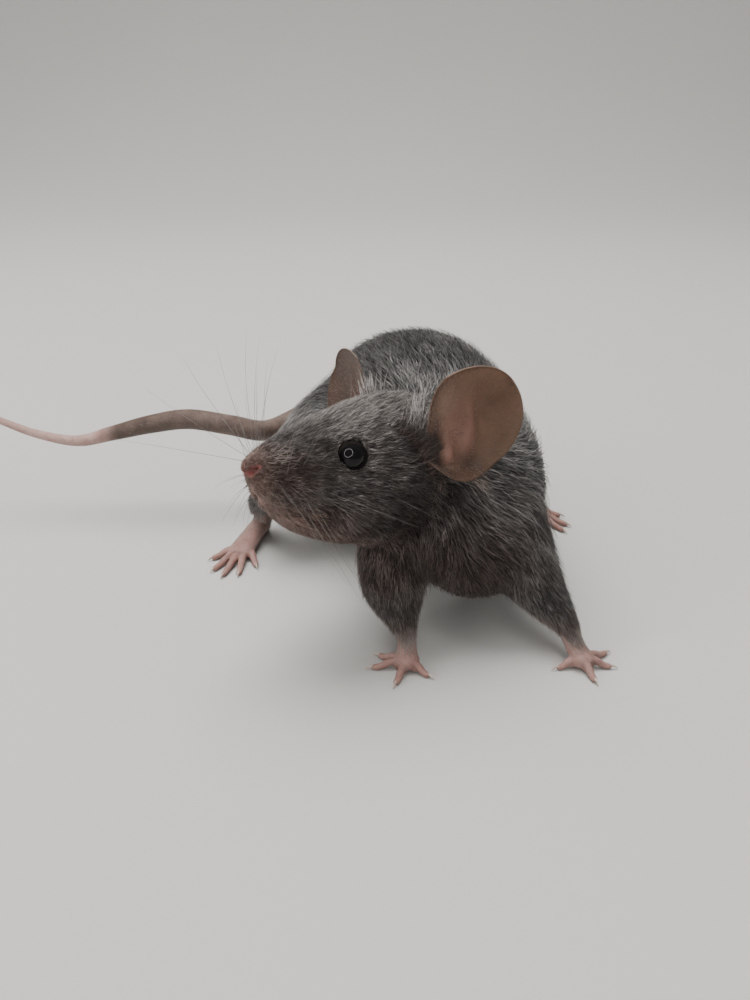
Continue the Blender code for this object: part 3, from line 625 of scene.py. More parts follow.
def distance_to_pair(points, finder, path):
    """How far each point is from a path on the face, drawn on both sides."""
    ways = [distance_to_path(points, path_on_skin(finder, path, side)) for side in SIDES]
    return np.minimum(*ways)


def face_spot(local, ahead, up, spread):
    """A spot on both sides of the face, by its place along the head and its height."""
    return np.exp(-((local[:, 0] - ahead) ** 2 + (local[:, 2] - up) ** 2) / spread)


def pad_top(local):
    """The upper edge of each whisker pad, where cream bristles stand up."""
    folded = np.column_stack([local[:, 0], np.abs(local[:, 1]), local[:, 2]])
    return blob(folded, (-3.2, 2.0, 1.45), (1.5, 1.0, 0.65))


def whisker_spot(row, column):
    return np.array((-2.5 - 0.95 * column, 6.0, 0.5 - 0.95 * row - 0.1 * column))


def bristle_spots(local):
    """Dark dots where the whiskers grow."""
    dots = np.zeros(len(local))
    for row, column in itertools.product(range(WHISKER_ROWS), range(WHISKER_COLUMNS)):
        spot = whisker_spot(row, column)
        away = np.hypot(local[:, 0] - spot[0], local[:, 2] - spot[2])
        dots = np.maximum(dots, bell(away, 0.27))
    return dots * (np.abs(local[:, 1]) > 0.8)


def ear_front(points):
    """Dark hairs and painted shadow on the head just in front of each ear, and in the notch under it."""
    out = np.zeros(len(points))
    for side in SIDES:
        for place, size in EAR_SHADOWS:
            out += 0.9 * bell(distance(points, from_head(mirrored(place, side))), size)
    return out


# Eyes

def eyes(finder):
    """Each eye is one ball, a little fuller where it looks out, with a dark rim of lid round it."""
    made = []
    for side in SIDES:
        centre, way = eye_axis(finder, side)
        turn = Vector(way).to_track_quat("Z", "Y").to_matrix().to_4x4()
        bpy.ops.mesh.primitive_uv_sphere_add(segments=72, ring_count=40, radius=EYE_RADIUS * MM)
        eye = bpy.context.active_object
        eye.name = "eyeball_" + side
        points = mesh_points(eye)
        points[:, 2] += 0.16 * smoothstep(0.4, EYE_RADIUS, points[:, 2])
        set_points(eye, points)
        eye.data.transform(Matrix.Translation(Vector(centre * MM)) @ turn)
        shade_smooth(eye)
        made.append((eye, lid_rim(side, centre, way)))
    return made


def lid_rim(side, centre, way):
    """The dark bare edge of the lids, a band that hugs the ball and opens wider at its two corners."""
    to_nose = HEAD_TURN @ np.array((1.0, 0, 0))
    forward = unit(to_nose - way * (way @ to_nose))
    upward = np.cross(way, forward)
    rings = []
    for angle in np.linspace(0, 2 * np.pi, 97)[:-1]:
        flat = forward * math.cos(angle) + upward * math.sin(angle)
        inner = LID_OPENING + LID_CORNER * abs(math.cos(angle)) ** 8
        band = [(inner + math.radians(a), EYE_RADIUS + out) for a, out in LID_SECTION]
        rings.append([centre + (flat * math.sin(a) + way * math.cos(a)) * reach for a, reach in band])
    rings = np.array(rings)
    index = np.arange(rings.shape[0] * rings.shape[1]).reshape(rings.shape[:2])
    beside = np.roll(index, -1, axis=1)
    faces = np.stack([index, beside, np.roll(beside, -1, axis=0), np.roll(index, -1, axis=0)], -1)
    lid = put_mesh("lid_" + side, rings.reshape(-1, 3), faces.reshape(-1, 4))
    outward(lid)
    return lid


# Ears

def ear_half_widths(share):
    if share > EAR_WIDEST:
        swing = math.sqrt(1 - ((share - EAR_WIDEST) / (1 - EAR_WIDEST)) ** 2)
        return EAR_WIDTHS[-1][1] * swing, EAR_WIDTHS[-1][2] * swing
    rows = smooth_rows(EAR_WIDTHS, 6)
    return np.interp(share, rows[:, 0], rows[:, 1]), np.interp(share, rows[:, 0], rows[:, 2])


def ear_axes(side):
    """Along the ear, up its chord and out of its opening, as for the left ear in the head's frame."""
    spine = Vector(EAR_SPINE[side]).normalized()
    chord = (EAR_CHORD - spine * EAR_CHORD.dot(spine)).normalized()
    opening = spine.cross(chord).normalized()
    twist = Matrix.Rotation(EAR_TWIST[side], 3, spine)
    return np.array(spine), np.array(twist @ chord), np.array(twist @ opening)


def ear_ridge(share):
    """How far across an ear its long inner ridge runs."""
    return np.interp(share, (0.36, 0.40, 0.54, 0.64, 0.75), (-0.44, -0.42, -0.22, 0.22, 0.40))


def ear_patches(share, across, patches, start=0.0):
    """The start with soft patches added, at a share of an ear's length and a place across it."""
    return sum((height * bell(share - at, long, across - aside, wide)
                for height, at, long, aside, wide in patches), start)


def ear_fold(share, across):
    """How far the leaf stands out of its even cup: ridges, hollows and a dip of its sunk root."""
    ridge = 0.45 * bell(share - 0.50, 0.13, across - ear_ridge(share), 0.13)
    fold = ear_patches(share, across, EAR_FOLDS, ridge)
    fold -= 1.5 * smoothstep(0.23, 0.12, share) * smoothstep(-0.85, -0.40, across)
    wave = 0.05 * share * math.sin(across * 3.1 + share * 5.0)
    return fold + wave


def ear_sheet(side):
    """Places over the cupped middle of a leaf, with each one's share of its length and place across it."""
    spine, chord, opening = ear_axes(side)
    sheet = np.zeros((EAR_ROWS, EAR_COLUMNS, 3))
    shares = np.zeros((EAR_ROWS, EAR_COLUMNS))
    widths = np.zeros((EAR_ROWS, EAR_COLUMNS))
    for i in range(EAR_ROWS):
        share = math.sin(math.pi / 2 * (i + 0.02) / (EAR_ROWS - 0.98)) * 0.99999
        front, back = ear_half_widths(share)
        curl = 0.43 + 0.70 * (1 - min(1.0, share / 0.6)) ** 1.5
        radius = (front + back) / 2 / curl
        start = np.array(EAR_ROOT[side]) + spine * (share * (EAR_LENGTH + EAR_SUNK) - EAR_SUNK)
        for k in range(EAR_COLUMNS):
            across = -1 + 2 * k / (EAR_COLUMNS - 1)
            across = math.copysign(abs(across) ** 0.85, across)
            angle = (-back + (front + back) * (across + 1) / 2) / radius
            offset = chord * (radius * math.sin(angle)) + opening * (radius * (1 - math.cos(angle)))
            sheet[i, k] = start + offset + opening * ear_fold(share, across)
            shares[i, k] = share
            widths[i, k] = across
    sheet[:, :, 1] *= SIDES[side]
    sheet = from_head(sheet.reshape(-1, 3)).reshape(sheet.shape)
    return sheet, shares, widths


def leaf_faces(rows, columns):
    """Faces of the front, the back and the border of a leaf two points thick."""
    index = np.arange(rows * columns).reshape(rows, columns)
    a, b, c, d = index[:-1, :-1], index[1:, :-1], index[1:, 1:], index[:-1, 1:]
    front = np.stack([a, b, c, d], -1).reshape(-1, 4)
    back = np.stack([d, c, b, a], -1).reshape(-1, 4) + rows * columns
    border = np.concatenate([index[0, :], index[1:, -1], index[-1, -2::-1], index[-2:0:-1, 0]])
    after = np.roll(border, -1)
    rim = np.stack([border, after, after + rows * columns, border + rows * columns], -1)
    return np.vstack([front, back, rim])


def ear(side):
    """A thin cupped leaf with a fine rim, thicker and folded at its root."""
    sheet, shares, widths = ear_sheet(side)
    normals = unit(np.cross(np.gradient(sheet, axis=0), np.gradient(sheet, axis=1)))
    edge = np.minimum(1 - np.abs(widths), (1 - shares) * 1.6)
    thick = 0.055 + 0.015 * bell(edge, 0.02) + 0.10 * (1 - shares) ** 2.2
    front = sheet + normals * thick[..., None]
    back = sheet - normals * thick[..., None]
    leaf = put_mesh("ear_leaf_" + side, np.vstack([front.reshape(-1, 3), back.reshape(-1, 3)]),
                    leaf_faces(EAR_ROWS, EAR_COLUMNS))
    outward(leaf)
    ear_masks(leaf, shares, widths, edge)
    return leaf


def ear_masks(leaf, shares, widths, edge):
    """Where the leaf is its inner side, near its rim or pink, and where shade and light are painted on it."""
    ridge = 0.5 * bell(shares - 0.50, 0.13, widths - ear_ridge(shares), 0.16)
    cup = ear_patches(shares, widths, EAR_CUP, ridge)
    # Painted shade in a hollow, low on the leaf, in a band near its root and along its front rim, not on the
    # lobe
    shade = ear_patches(shares, widths, EAR_SHADE, 0.7 * bell(shares - 0.15, 0.06))
    shade += 0.45 * bell(edge - 0.04, 0.05) * (widths > 0)
    shade -= shade * 0.8 * bell(shares - 0.26, 0.05, widths + 0.10, 0.18)
    # A lighter patch of painted light
    light = ear_patches(shares, widths, EAR_PAINTED_LIGHT)
    point_mask(leaf, "inside", np.repeat((1.0, 0.0), shares.size))
    point_mask(leaf, "edge", np.tile((edge + 0.1 * smoothstep(0.60, 0.45, shares)).ravel(), 2))
    for name, values in (("cup", cup), ("shade", shade), ("light", light)):
        values = np.clip(values.ravel(), 0, 1)
        point_mask(leaf, name, np.concatenate([values, values * 0.3]))


# Paws and claws

def heading_way(heading):
    """A level direction, from its angle in degrees from +X."""
    return np.array((math.cos(math.radians(heading)), math.sin(math.radians(heading)), 0.0))


def digit_rows(root, heading, length, radius):
    """A toe that arches from its root, thickens at two joints and ends in a pad, and its claw."""
    ahead = heading_way(heading)
    floor = radius * 0.82
    rows = []
    for share in np.linspace(0, 1, 13):
        place = root + ahead * (length * share)
        arch = 0.55 * math.sin(math.pi * min(1.0, share * 1.1)) * (1 - share)
        height = root[2] + (floor - root[2]) * smoothstep(0, 0.8, share) + arch
        joints = 1 + 0.10 * bell(share - 0.52, 0.1) + 0.06 * bell(share - 0.8, 0.07)
        thick = radius * (1.12 - 0.28 * share) * joints
        rows.append((place[0], place[1], max(height, thick * 0.95), thick, thick * 0.95))
    tip = np.array(rows[-1][:3])
    claw = []
    for share in np.linspace(0, 1, 9):
        place = tip + ahead * (radius * 0.45 + CLAW_LENGTH * share)
        thick = 0.19 * (1 - share) ** 0.7 + 0.025
        claw.append((place[0], place[1], max(tip[2] + 0.16 - 0.40 * share ** 2, thick), thick * 0.75, thick))
    return rounded(rows), rounded(claw, 2)


def forepaw(side):
    facts = FOREPAW[side]
    palm, wrist, above = (placed(facts[key]) for key in ("palm", "wrist", "up"))
    arm = smooth_rows(((*above, 1.5, 1.55), (*wrist, 1.2, 1.15), (*palm, 1.45, 1.15)), 6)
    tubes = [loft(rounded(arm), 24), ball(palm + (0, 0, -0.05), (1.62, 1.62, 1.15))]
    claws = []
    for heading, length in facts["digits"]:
        ahead = heading_way(heading)
        root = palm + ahead * 1.0 + np.array((0, 0, -0.3))
        toe, claw = digit_rows(root, heading, length - 1.25, 0.47)
        tubes.append(loft(toe, 16))
        tubes.append(ball(palm + ahead * 1.25 + (0, 0, -0.78), (0.5, 0.5, 0.38), 16))
        claws.append(loft(claw, 10))
    return paw_piece("forepaw_skin_" + side, tubes), closed_piece("foreclaws_" + side, claws), above


def hindpaw(side):
    facts = HINDPAW[side]
    ahead = heading_way(facts["heading"])
    across = np.array((-ahead[1], ahead[0], 0))
    heel, above = placed(facts["heel"]), placed(facts["above"])
    rows = []
    for share, wide, height in HIND_SECTIONS:
        place = heel + ahead * (HIND_SOLE * share)
        rows.append((place[0], place[1], height, wide, height - 0.02))
    middle = (above + heel) / 2 + (0, 0, -0.3)
    ankle = smooth_rows(((*above, 1.35, 1.5), (*middle, 1.4, 1.6), (*heel, 1.45, 1.5)), 6)
    tubes = [loft(rounded(smooth_rows(rows, 5)), 24), loft(rounded(ankle), 24, reference=(0, 1, 0))]
    claws = []
    ball_of_foot = heel + ahead * HIND_SOLE
    for spread, length in HIND_TOES:
        shift = across * (1.45 * math.sin(math.radians(spread * 1.9)) * facts["turn"])
        root = ball_of_foot + shift - ahead * (0.3 + 0.03 * abs(spread))
        root[2] = 0.70
        toe, claw = digit_rows(root, facts["heading"] + spread * facts["turn"], length + 0.2, 0.52)
        tubes.append(loft(toe, 16))
        tubes.append(ball(root + (0, 0, -0.25), (0.6, 0.6, 0.45), 16))
        claws.append(loft(claw, 10))
    return paw_piece("hindpaw_skin_" + side, tubes), closed_piece("hindclaws_" + side, claws), above


def paw_piece(name, tubes):
    """One fused skin over palm, arm and toes, kept off the floor."""
    paw = closed_piece(name, tubes)
    fuse(paw, PAW_VOXEL, 3)
    points = mesh_points(paw)
    points[:, 2] = np.maximum(points[:, 2], 0.01)
    set_points(paw, points)
    return paw


# Tail

def run_along(places):
    """How far along a path each of its places is."""
    steps = np.linalg.norm(np.diff(places, axis=0), axis=1)
    return np.concatenate([[0], np.cumsum(steps)])


def tail():
    """One long taper with a raised edge to every ring of scales."""
    rows = smooth_rows(placed(TAIL), 60)
    run = run_along(rows[:, :3])
    marks = np.arange(0, run[-1], TAIL_RING / 4)
    rows = np.stack([np.interp(marks, run, rows[:, i]) for i in range(4)], 1)
    step = (marks / TAIL_RING) % 1
    ridge = 0.035 * bell(step - 0.75, 0.16) * np.clip(rows[:, 3] / 1.2, 0.35, 1)
    radius = rows[:, 3] - 0.03 + ridge
    rows = np.column_stack([rows[:, :3], radius, radius])
    piece = put_mesh("tail_skin", *ring_tube(loft(rounded(rows, 3), 20)))
    outward(piece)
    finder = nearest_place(rows[:, :3])
    along = [marks[finder.find(p)[1]] / marks[-1] for p in mesh_points(piece)]
    point_mask(piece, "along", along)
    return piece, rows


# Coat

def lie_of_coat(points, normals):
    """The way the hair lies: back from the nose, along the body and down the legs, flat on the skin."""
    middles = np.column_stack([-SKULL[:, 0], np.zeros(len(SKULL)), (SKULL[:, 1] + SKULL[:, 2]) / 2])
    radii = (SKULL[:, 3] + (SKULL[:, 1] - SKULL[:, 2]) / 2) / 2
    chains = [np.column_stack([from_head(middles), radii])]
    chains += [placed(chain) for chain in (TRUNK, *LIMBS)]
    total = np.zeros_like(points)
    for chain in chains:
        rows = smooth_rows(chain, 4)
        ways = unit(np.gradient(rows[:, :3], axis=0))
        for row, way in zip(rows, ways):
            away = distance(points, row[:3]) / row[3]
            total += way * (1 / (away ** 7 + 0.02))[:, None]
    total = unit(total)
    local = to_head(points)
    on_head = head_share(points)
    hang = (smoothstep(-4.5, -8.5, local[:, 2]) * 0.3 + smoothstep(2.0, -3.5, local[:, 2])
            * smoothstep(8, 13, -local[:, 0]) * 0.35) * on_head
    total = total + np.array((0, 0, -1.0)) * hang[:, None]
    side = np.sign(local[:, 1])[:, None] * HEAD_TURN[:, 1]
    spread = smoothstep(7, 1.5, -local[:, 0]) * on_head * 0.55
    return along_skin(total + side * spread[:, None], normals)


def along_skin(ways, normals):
    return unit(ways - normals * (ways * normals).sum(1, keepdims=True))


def skin_triangles(skin):
    """Corners of each triangle of a mesh, and their places on its UV map."""
    mesh = skin.data
    mesh.calc_loop_triangles()
    count = len(mesh.loop_triangles)
    corners = np.empty(count * 3, np.int32)
    mesh.loop_triangles.foreach_get("vertices", corners)
    loops = np.empty(count * 3, np.int32)
    mesh.loop_triangles.foreach_get("loops", loops)
    uv = np.empty(len(mesh.loops) * 2)
    mesh.uv_layers["OFBake"].data.foreach_get("uv", uv)
    return corners.reshape(-1, 3), uv.reshape(-1, 2)[loops].reshape(-1, 3, 2)


def unwrap(obj):
    obj.data.uv_layers.new(name="OFBake")
    edit_whole(obj)
    bpy.ops.uv.smart_project(angle_limit=math.radians(66), island_margin=0.002)
    leave_edit()


def scatter(skin, density, draw):
    """Places on the skin, as many to the square millimetre as density says, with normals and UVs."""
    corners, uv = skin_triangles(skin)
    points = mesh_points(skin)
    normals = mesh_normals(skin)
    a, b, c = (points[corners[:, i]] for i in range(3))
    area = np.linalg.norm(np.cross(b - a, c - a), axis=1) / 2
    weight = np.cumsum(area * density((a + b + c) / 3))
    count = int(weight[-1])
    picks = np.searchsorted(weight, (np.arange(count) + draw.random(count)) * weight[-1] / count)
    picks = np.minimum(picks, len(corners) - 1)
    first = np.sqrt(draw.random(count))
    second = draw.random(count)
    share = np.stack([1 - first, first * (1 - second), first * second], -1)[..., None]
    places = (points[corners[picks]] * share).sum(1)
    facing = unit((normals[corners[picks]] * share).sum(1))
    return places, facing, (uv[picks] * share).sum(1)


def rest_on(finder, places, heights, reach):
    """Each place brought to a height above the skin near it, or left where the skin is far."""
    out = np.array(places)
    for i, place in enumerate(places):
        spot, normal, _, away = finder.find_nearest(place)
        if spot is not None and away < reach[i]:
            out[i] = np.array(spot) + np.array(normal) * heights[i]
    return out


def draw_together(roots, tips, lengths, draw, share):
    """Pull the tips of neighbours towards one tip among them, so the hair parts into locks."""
    leaders = np.arange(0, len(roots), LOCK_SIZE)
    finder = nearest_place(roots[leaders])
    nearest = np.array([leaders[finder.find(root)[1]] for root in roots])
    offset = (tips[nearest] - roots[nearest]) - (tips - roots)
    gather_in = (roots[nearest] - roots) + offset
    pull = share * draw.uniform(0.5, 1.2, len(roots))
    far = np.linalg.norm(roots[nearest] - roots, axis=1) > lengths * 0.8
    pull[far] = 0
    return tips + gather_in * pull[:, None], nearest


def three_round(places, ways, normals, size):
    """Three points round each place, square to the way the tuft runs."""
    side = unit(np.cross(normals, ways)) * size[:, None] / 2
    top = unit(np.cross(ways, side)) * size[:, None] * 0.42
    return places - side, places + side, places + top


def tuft_arrays(roots, middles, tips, normals, widths):
    """Seven points and ten triangles to each tuft: a tapered three-sided spike with a bend."""
    base = three_round(roots - normals * 0.12, unit(middles - roots), normals, widths)
    waist = three_round(middles, unit(tips - middles), normals, widths * 0.78)
    points = np.stack([*base, *waist, tips], 1)
    triangles = np.array(((0, 1, 4), (0, 4, 3), (1, 2, 5), (1, 5, 4), (2, 0, 3), (2, 3, 5),
                          (3, 4, 6), (4, 5, 6), (5, 3, 6), (2, 1, 0)))
    return points, triangles


def fine_arrays(roots, tips, normals, widths):
    """Four points and four triangles to each short tuft: a straight three-sided spike."""
    base = three_round(roots - normals * 0.06, unit(tips - roots), normals, widths)
    return np.stack([*base, tips], 1), np.array(((0, 1, 3), (1, 2, 3), (2, 0, 3), (2, 1, 0)))


def coat_pieces(name, points, triangles, spots, masks, material):
    """Meshes of so many tufts, each tuft a small patch at its root's spot on the UV map."""
    corners_each = points.shape[1]
    along, across = TUFT_PATCH[corners_each]
    patch = np.stack([across, np.array(along) * 0.9 + np.array(across) * 0.1], -1) * 0.003
    masks = dict(masks, along=np.tile(along, (len(points), 1)))
    made = []
    pieces = max(1, math.ceil(len(points) * len(triangles) / TRIANGLES_PER_PIECE))
    for number, chosen in enumerate(np.array_split(np.arange(len(points)), pieces)):
        corners = (np.arange(len(chosen))[:, None, None] * corners_each + triangles).reshape(-1, 3)
        obj = put_mesh(f"{name}_{number + 1}", points[chosen].reshape(-1, 3), corners)
        uv = (spots[chosen][:, None] + patch).reshape(-1, 2)
        layer = obj.data.uv_layers.new(name="OFBake")
        layer.data.foreach_set("uv", uv[corners.ravel()].astype(np.float32).ravel())
        for mask, values in masks.items():
            values = values[chosen]
            if values.ndim == 1:
                values = np.repeat(values[:, None], corners_each, 1)
            point_mask(obj, mask, values.ravel())
        obj.data.materials.append(material)
        made.append(obj)
    return made


def clear_of_eyes(places):
    """False for places on or over an eye."""
    away = [distance(places, middle_of("eye_" + side)) for side in SIDES]
    return np.minimum(*away) > EYE_RADIUS + 0.10


def tuft_width(length):
    return 0.048 + 0.029 * length


def lay_down(places, normals, lengths, finder, draw, plan):
    """Middles and tips of hairs that follow the plan's lie with a sway and rest a little over the skin."""
    ways = plan["lie"](places, normals)
    sway = np.cross(normals, ways) * draw.normal(0, plan.get("sway", 0.17), len(places))[:, None]
    ways = unit(ways + sway)
    low, high = plan["lift"](places, lengths)
    lift = low + (high - low) * draw.random(len(places))
    middles = rest_on(finder, places + ways * lengths[:, None] * 0.5, lift * 0.7, lengths)
    return middles, rest_on(finder, places + ways * lengths[:, None], lift, lengths)


def grow(name, base, finder, material, draw, plan):
    """Tufts over a base, as the plan's functions of place say.

    The plan holds density, length, lie, lift, width and marks. It may hold the spread of the lengths, the
    sway from the lie, how far tips clump, and from where to where the hairs' tones are picked.
    """
    places, normals, spots = scatter(base, plan["density"], draw)
    keep = clear_of_eyes(places)
    places, normals, spots = places[keep], normals[keep], spots[keep]
    count = len(places)
    lengths = plan["length"](places) * draw.uniform(*plan.get("spread", (0.7, 1.2)), count)
    middles, tips = lay_down(places, normals, lengths, finder, draw, plan)
    tips, lock = draw_together(places, tips, lengths, draw, plan.get("clump", 0.0))
    keep = clear_of_eyes(tips) & clear_of_eyes(middles)
    widths = plan["width"](lengths) * draw.uniform(0.7, 1.25, count)
    tone = 0.6 * draw.random(count) + 0.4 * draw.random(count)[lock]
    low, high = plan.get("pick", (0.0, 1.0))
    masks = plan["marks"](places)
    masks["pick"] = low + (high - low) * np.clip(0.5 + (tone - 0.5) * 1.3, 0, 1)
    made = []
    for ending, part in (("", keep & (lengths >= SHORT_HAIR)), ("_short", keep & (lengths < SHORT_HAIR))):
        if not part.any():
            continue
        if ending:
            points, triangles = fine_arrays(places[part], tips[part], normals[part], widths[part])
        else:
            shape = [values[part] for values in (places, middles, tips, normals, widths)]
            points, triangles = tuft_arrays(*shape)
        chosen = {mask: values[part] for mask, values in masks.items()}
        made += coat_pieces(name + ending, points, triangles, spots[part], chosen, material)
    return made


def coat_marks(points, finder):
    """The markings that colour a hair: all but the bare skin."""
    marks = markings(points, finder)
    return {name: marks[name] for name in HAIR_MARKS}


def coat(skin, finder, material, draw):
    """The main coat: overlapping tufts that lie along the body, finer and shorter on the face and legs."""
    def density(points):
        length = hair_length(points)
        bald = smoothstep(0.4, 0.8, markings(points, finder)["bare"])
        return 5.9 / (length * tuft_width(length)) * (1 - 0.85 * bald)

    def lift(points, lengths):
        depth = coat_depth(points)
        return 0.1 + 0.35 * depth, 0.1 + 1.15 * depth

    plan = {"density": density, "length": hair_length, "lie": lie_of_coat, "lift": lift, "width": tuft_width,
            "marks": lambda points: coat_marks(points, finder), "clump": 0.42}
    return grow("coat", skin, finder, material, draw, plan)


def guard_hairs(skin, finder, material, draw):
    """Sparse longer hairs that stand a little out of the coat and soften its outline."""
    def density(points):
        length = hair_length(points)
        return 2.1 * (length > 0.8) + 1.6 * (length < 2.6) * (length > 0.8)

    def lift(points, lengths):
        depth = coat_depth(points)
        return 0.9 * depth + 0.04 * lengths, 1.6 * depth + 0.06 * lengths

    plan = {"density": density, "length": hair_length, "lie": lie_of_coat, "lift": lift, "sway": 0.24,
            "width": lambda lengths: 0.055 + 0.006 * lengths, "spread": (1.0, 1.7), "pick": (0.40, 0.92),
            "marks": lambda points: coat_marks(points, finder)}
    return grow("guard_hair", skin, finder, material, draw, plan)


def pad_bristles(skin, finder, material, draw):
    """Coarser short hairs that stand up on the whisker pads, thickest along their upper edge."""
    def density(points):
        local = to_head(points)
        pad = face_spot(local, -3.9, -1.5, 6.0) * (np.abs(local[:, 1]) > 0.7)
        return (12 * pad + 26 * pad_top(local)) * head_share(points)

    def marks(points):
        top = np.clip(1.6 * pad_top(to_head(points)), 0, 1)
        return dict(plain_marks(points, 0.55, 0.0, 0.0), pale=0.15 + 0.85 * top, dark=0.40 * (1 - top))

    plan = {"density": density, "length": lambda points: np.full(len(points), 0.95), "lie": lie_of_coat,
            "lift": lambda points, lengths: (0.30 * lengths, 0.85 * lengths), "sway": 0.40,
            "width": lambda lengths: 0.045 + 0.04 * lengths, "pick": (0.35, 1.0), "spread": (0.7, 1.4),
            "marks": marks}
    return grow("pad_bristle", skin, finder, material, draw, plan)


def plain_marks(points, *shares):
    """The same share of warm, pale and dark at every place."""
    return {name: np.full(len(points), share) for name, share in zip(HAIR_MARKS, shares)}


def paw_hair(paw, centre, material, draw):
    """Sparse pale hairs on the upper side of a paw that point towards its toes."""
    def lie(points, normals):
        return along_skin(unit((points - centre) * (1, 1, 0.2) + 1e-6), normals)

    def density(points):
        return (14 + 34 * smoothstep(2.0, 4.0, points[:, 2])) * smoothstep(0.9, 1.6, points[:, 2])

    def length(points):
        return np.interp(points[:, 2], (1.0, 2.5, 5.0), (0.5, 0.9, 2.0))

    def marks(points):
        high = smoothstep(2.5, 5.0, points[:, 2])
        return dict(plain_marks(points, 0.4, 1.0, 0.0), pale=1 - 0.4 * high, dark=0.25 * high)

    plan = {"density": density, "length": length, "lie": lie,
            "lift": lambda points, lengths: (0.05, 0.10 + 0.12 * lengths),
            "width": lambda lengths: 0.036 + 0.02 * lengths, "pick": (0.5, 1.0), "marks": marks}
    return grow(paw.name.replace("skin", "hair"), paw, nearest_finder(paw), material, draw, plan)


def tail_hair(piece, rows, material, draw):
    """Fine bristles along the tail, and fur that runs out over its root."""
    finder = nearest_place(rows[:, :3])
    tangents = unit(np.gradient(rows[:, :3], axis=0))
    run = run_along(rows[:, :3])

    def nearest(points):
        return np.array([finder.find(p)[1] for p in points])

    def near_root(points):
        return smoothstep(20.0, 11.0, run[nearest(points)])

    plan = {"density": lambda points: 2.0 + 13 * near_root(points),
            "length": lambda points: 0.55 + 2.2 * near_root(points),
            "lie": lambda points, normals: along_skin(tangents[nearest(points)], normals),
            "lift": lambda points, lengths: (0.05, 0.08 + 0.16 * lengths),
            "width": lambda lengths: 0.030 + 0.05 * lengths,
            "marks": lambda points: plain_marks(points, 0.35, 0.15, 0.1)}
    return grow("tail_hair", piece, nearest_finder(piece), material, draw, plan)


def ear_fuzz(leaf, side, material, draw):
    """A fine down over both faces of an ear, lying out towards its rim and thicker at its root."""
    root = from_head(mirrored(EAR_ROOT[side], side))
    plan = {"density": lambda points: 9 + 26 * smoothstep(6, 2.5, distance(points, root)),
            "length": lambda points: np.full(len(points), 0.72), "sway": 0.3,
            "lie": lambda points, normals: along_skin(unit(points - root), normals),
            "lift": lambda points, lengths: (0.04, 0.11),
            "width": lambda lengths: np.full(len(lengths), 0.042), "pick": (0.45, 1.0),
            "marks": lambda points: plain_marks(points, 0.95, 0.25, 0.0)}
    return grow("ear_fuzz_" + side, leaf, nearest_finder(leaf), material, draw, plan)


# Bunches at the root of each ear, in the ear's own directions along its length, up its chord and
# towards its opening: middle, spread, way, length, number, warm, pale, dark
BUNCHES = {
    "ear_front": ((-1.2, 1.3, 1.5), (0.6, 2.0, 0.7), (1.0, 0.02, 0.20), 2.7, 620, 0.55, 0.05, 0.70),
    "ear_low": ((-1.8, -2.4, 1.6), (0.5, 1.4, 0.5), (1.0, -0.05, 0.12), 2.0, 260, 0.80, 0.15, 0.35),
    "ear_stem": ((-1.9, -3.9, -0.1), (0.5, 0.9, 0.3), (-0.60, -0.75, 0.10), 2.0, 180, 0.90, 0.70, 0.0),
    "ear_back": ((-0.4, -0.2, -1.2), (0.8, 2.2, 0.6), (1.0, 0.0, -0.25), 3.0, 420, 0.2, 0.2, 0.5),
    "ear_top": ((-0.4, 3.0, 1.0), (0.7, 0.9, 0.6), (0.70, 0.80, 0.1), 5.2, 120, 0.1, 0.6, 0.0),
    "ear_under": ((1.2, -6.3, 0.4), (0.5, 0.5, 0.4), (0.30, -0.85, 0.40), 3.2, 150, 0.6, 0.9, 0.0),
}


def ear_bunches(skin, finder, material, draw):
    """Longer hairs round the root of each ear that overlap its base."""
    made = []
    for side in SIDES:
        axes = np.array(ear_axes(side))
        for name, (middle, spread, way, length, count, warm, pale, dark) in BUNCHES.items():
            offsets = draw.normal(0, 1, (count, 3)) * spread + np.array(middle)
            places = np.array(EAR_ROOT[side]) + offsets @ axes
            places[:, 1] *= SIDES[side]
            found = [finder.find_nearest(Vector(place)) for place in from_head(places)]
            roots, normals = (np.array([hit[i] for hit in found]) for i in (0, 1))
            spots = np.array([uv_at(skin, hit[2]) for hit in found])
            aims = (np.array(way) + draw.normal(0, 0.16, (count, 3))) @ axes
            aims[:, 1] *= SIDES[side]
            aims = unit(aims @ HEAD_TURN.T)
            lengths = length * draw.uniform(0.6, 1.15, count)
            middles = roots + unit(aims + normals * 0.35) * lengths[:, None] * 0.5
            tips = middles + unit(aims - normals * 0.15) * lengths[:, None] * 0.5
            points, triangles = tuft_arrays(roots, middles, tips, normals, 0.045 + 0.012 * lengths)
            masks = dict(plain_marks(roots, warm, pale, dark), pick=draw.random(count))
            made += coat_pieces(f"{name}_{side}", points, triangles, spots, masks, material)
    return made


def uv_at(skin, face):
    """The place on the UV map of a face's first corner."""
    return np.array(skin.data.uv_layers["OFBake"].data[skin.data.polygons[face].loop_start].uv)


# Whiskers

def whisker(root, way, length, thick, droop):
    """Rings of one whisker, a long taper that bends back and down."""
    shares = np.linspace(0, 1, 15)
    side = unit(np.cross(way, (0.0, 0.0, 1.0)))
    back = HEAD_TURN @ np.array((-1.0, 0, 0))
    bend = back * 0.22 + np.array((0, 0, -droop))
    places = root + way * (shares * length)[:, None] + bend * (length * shares ** 2)[:, None] * 0.6
    radii = thick * (1 - shares) ** 0.8 + 0.005
    rows = np.column_stack([places, radii, radii])
    return loft(rows, 5, reference=side + 0.01)


def hides_eye(rings):
    """Whether a whisker would lie before the left eye, seen from the photograph's viewpoint."""
    eye = middle_of("eye_left")
    sight = unit(VIEWPOINT - eye)
    offset = rings.mean(1) - eye
    ahead = offset @ sight
    away = np.linalg.norm(offset - ahead[:, None] * sight, axis=1)
    return bool(((away < EYE_IN_SIGHT) & (ahead > 0)).any())


